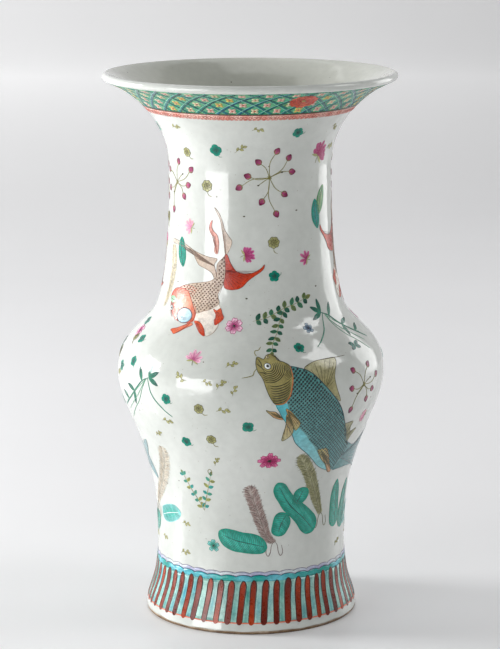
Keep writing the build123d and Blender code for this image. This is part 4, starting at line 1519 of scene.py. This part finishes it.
def stage_sweep():
    """A wide pale floor that curves up into a backdrop well behind the vase."""
    depth, height, bend, half, near = 5.2, 6.0, 0.8, 30.0, 2.0
    path = [(-half, 0.0), (-near, 0.0), (near, 0.0)]
    path += [(depth - bend + bend * math.sin(math.radians(a)), bend - bend * math.cos(math.radians(a)))
             for a in range(0, 91, 6)]
    path += [(depth, height)]
    verts = [(x, y, z) for y, z in path for x in (-half, half)]
    faces = [(i, i + 1, i + 3, i + 2) for i in range(0, len(verts) - 2, 2)]
    mesh = bpy.data.meshes.new("sweep")
    mesh.from_pydata(verts, [], faces)
    mesh.shade_smooth()
    mesh.materials.append(stage_material())
    sweep = bpy.data.objects.new("sweep", mesh)
    bpy.context.scene.collection.objects.link(sweep)


def soft_light(name, place, target, size, power):
    """A rectangular softbox at a place, turned to a target."""
    light = bpy.data.lights.new(name, "AREA")
    light.shape = "RECTANGLE"
    light.size, light.size_y = size
    light.energy = power
    lamp = bpy.data.objects.new(name, light)
    lamp.location = place
    lamp.rotation_euler = (Vector(target) - Vector(place)).to_track_quat("-Z", "Y").to_euler()
    bpy.context.scene.collection.objects.link(lamp)


def lights():
    """A dim even surround, two windows on the left, weaker ones on the right and one over the backdrop."""
    world = bpy.data.worlds.new("studio")
    bpy.context.scene.world = world
    world.use_nodes = True
    surround = world.node_tree.nodes["Background"].inputs
    surround["Color"].default_value = (0.98, 0.98, 1.0, 1)
    surround["Strength"].default_value = 0.19
    aim = (0, 0, 0.24)
    soft_light("window_front_left", (-1.49, -1.34, 0.33), aim, (1.2, 0.8), 21)
    soft_light("window_back_left", (-1.85, 0.3, 0.75), aim, (0.6, 0.7), 34)
    soft_light("window_right", (1.52, -0.16, 1.5), aim, (0.75, 1.0), 11)
    soft_light("card_right", (1.64, 1.15, 0.5), aim, (0.9, 1.6), 10)
    soft_light("overhead", (-0.6, 1.4, 2.6), (-0.4, 1.4, 0), (1.8, 1.8), 8)


def camera():
    """A long lens in front of the vase, looking down at it by about 11 degrees."""
    view = bpy.data.cameras.new("camera")
    view.lens = 141.15
    view.sensor_width = 36
    view.shift_x = 0.0012
    eye = bpy.data.objects.new("camera", view)
    eye.location = (0, -2.0740, 0.6574)
    eye.rotation_euler = (math.radians(78.636), math.radians(0.153), 0)
    bpy.context.scene.collection.objects.link(eye)
    bpy.context.scene.camera = eye


carry_over(("foot", "lower_body", "shoulder", "neck"), CLAY)
carry_over(("foot_seam_slip", "belly_seam_slip", "neck_seam_slip"), SLIP)
glaze_sheets()
paint_lappets()
paint_scroll()
paint_lattice()
paint_fish()
paint_plants()
paint_flowers()
paint_leaves()
paint_twigs()

stage_sweep()
lights()
camera()
bpy.context.scene.view_settings.view_transform = "Standard"
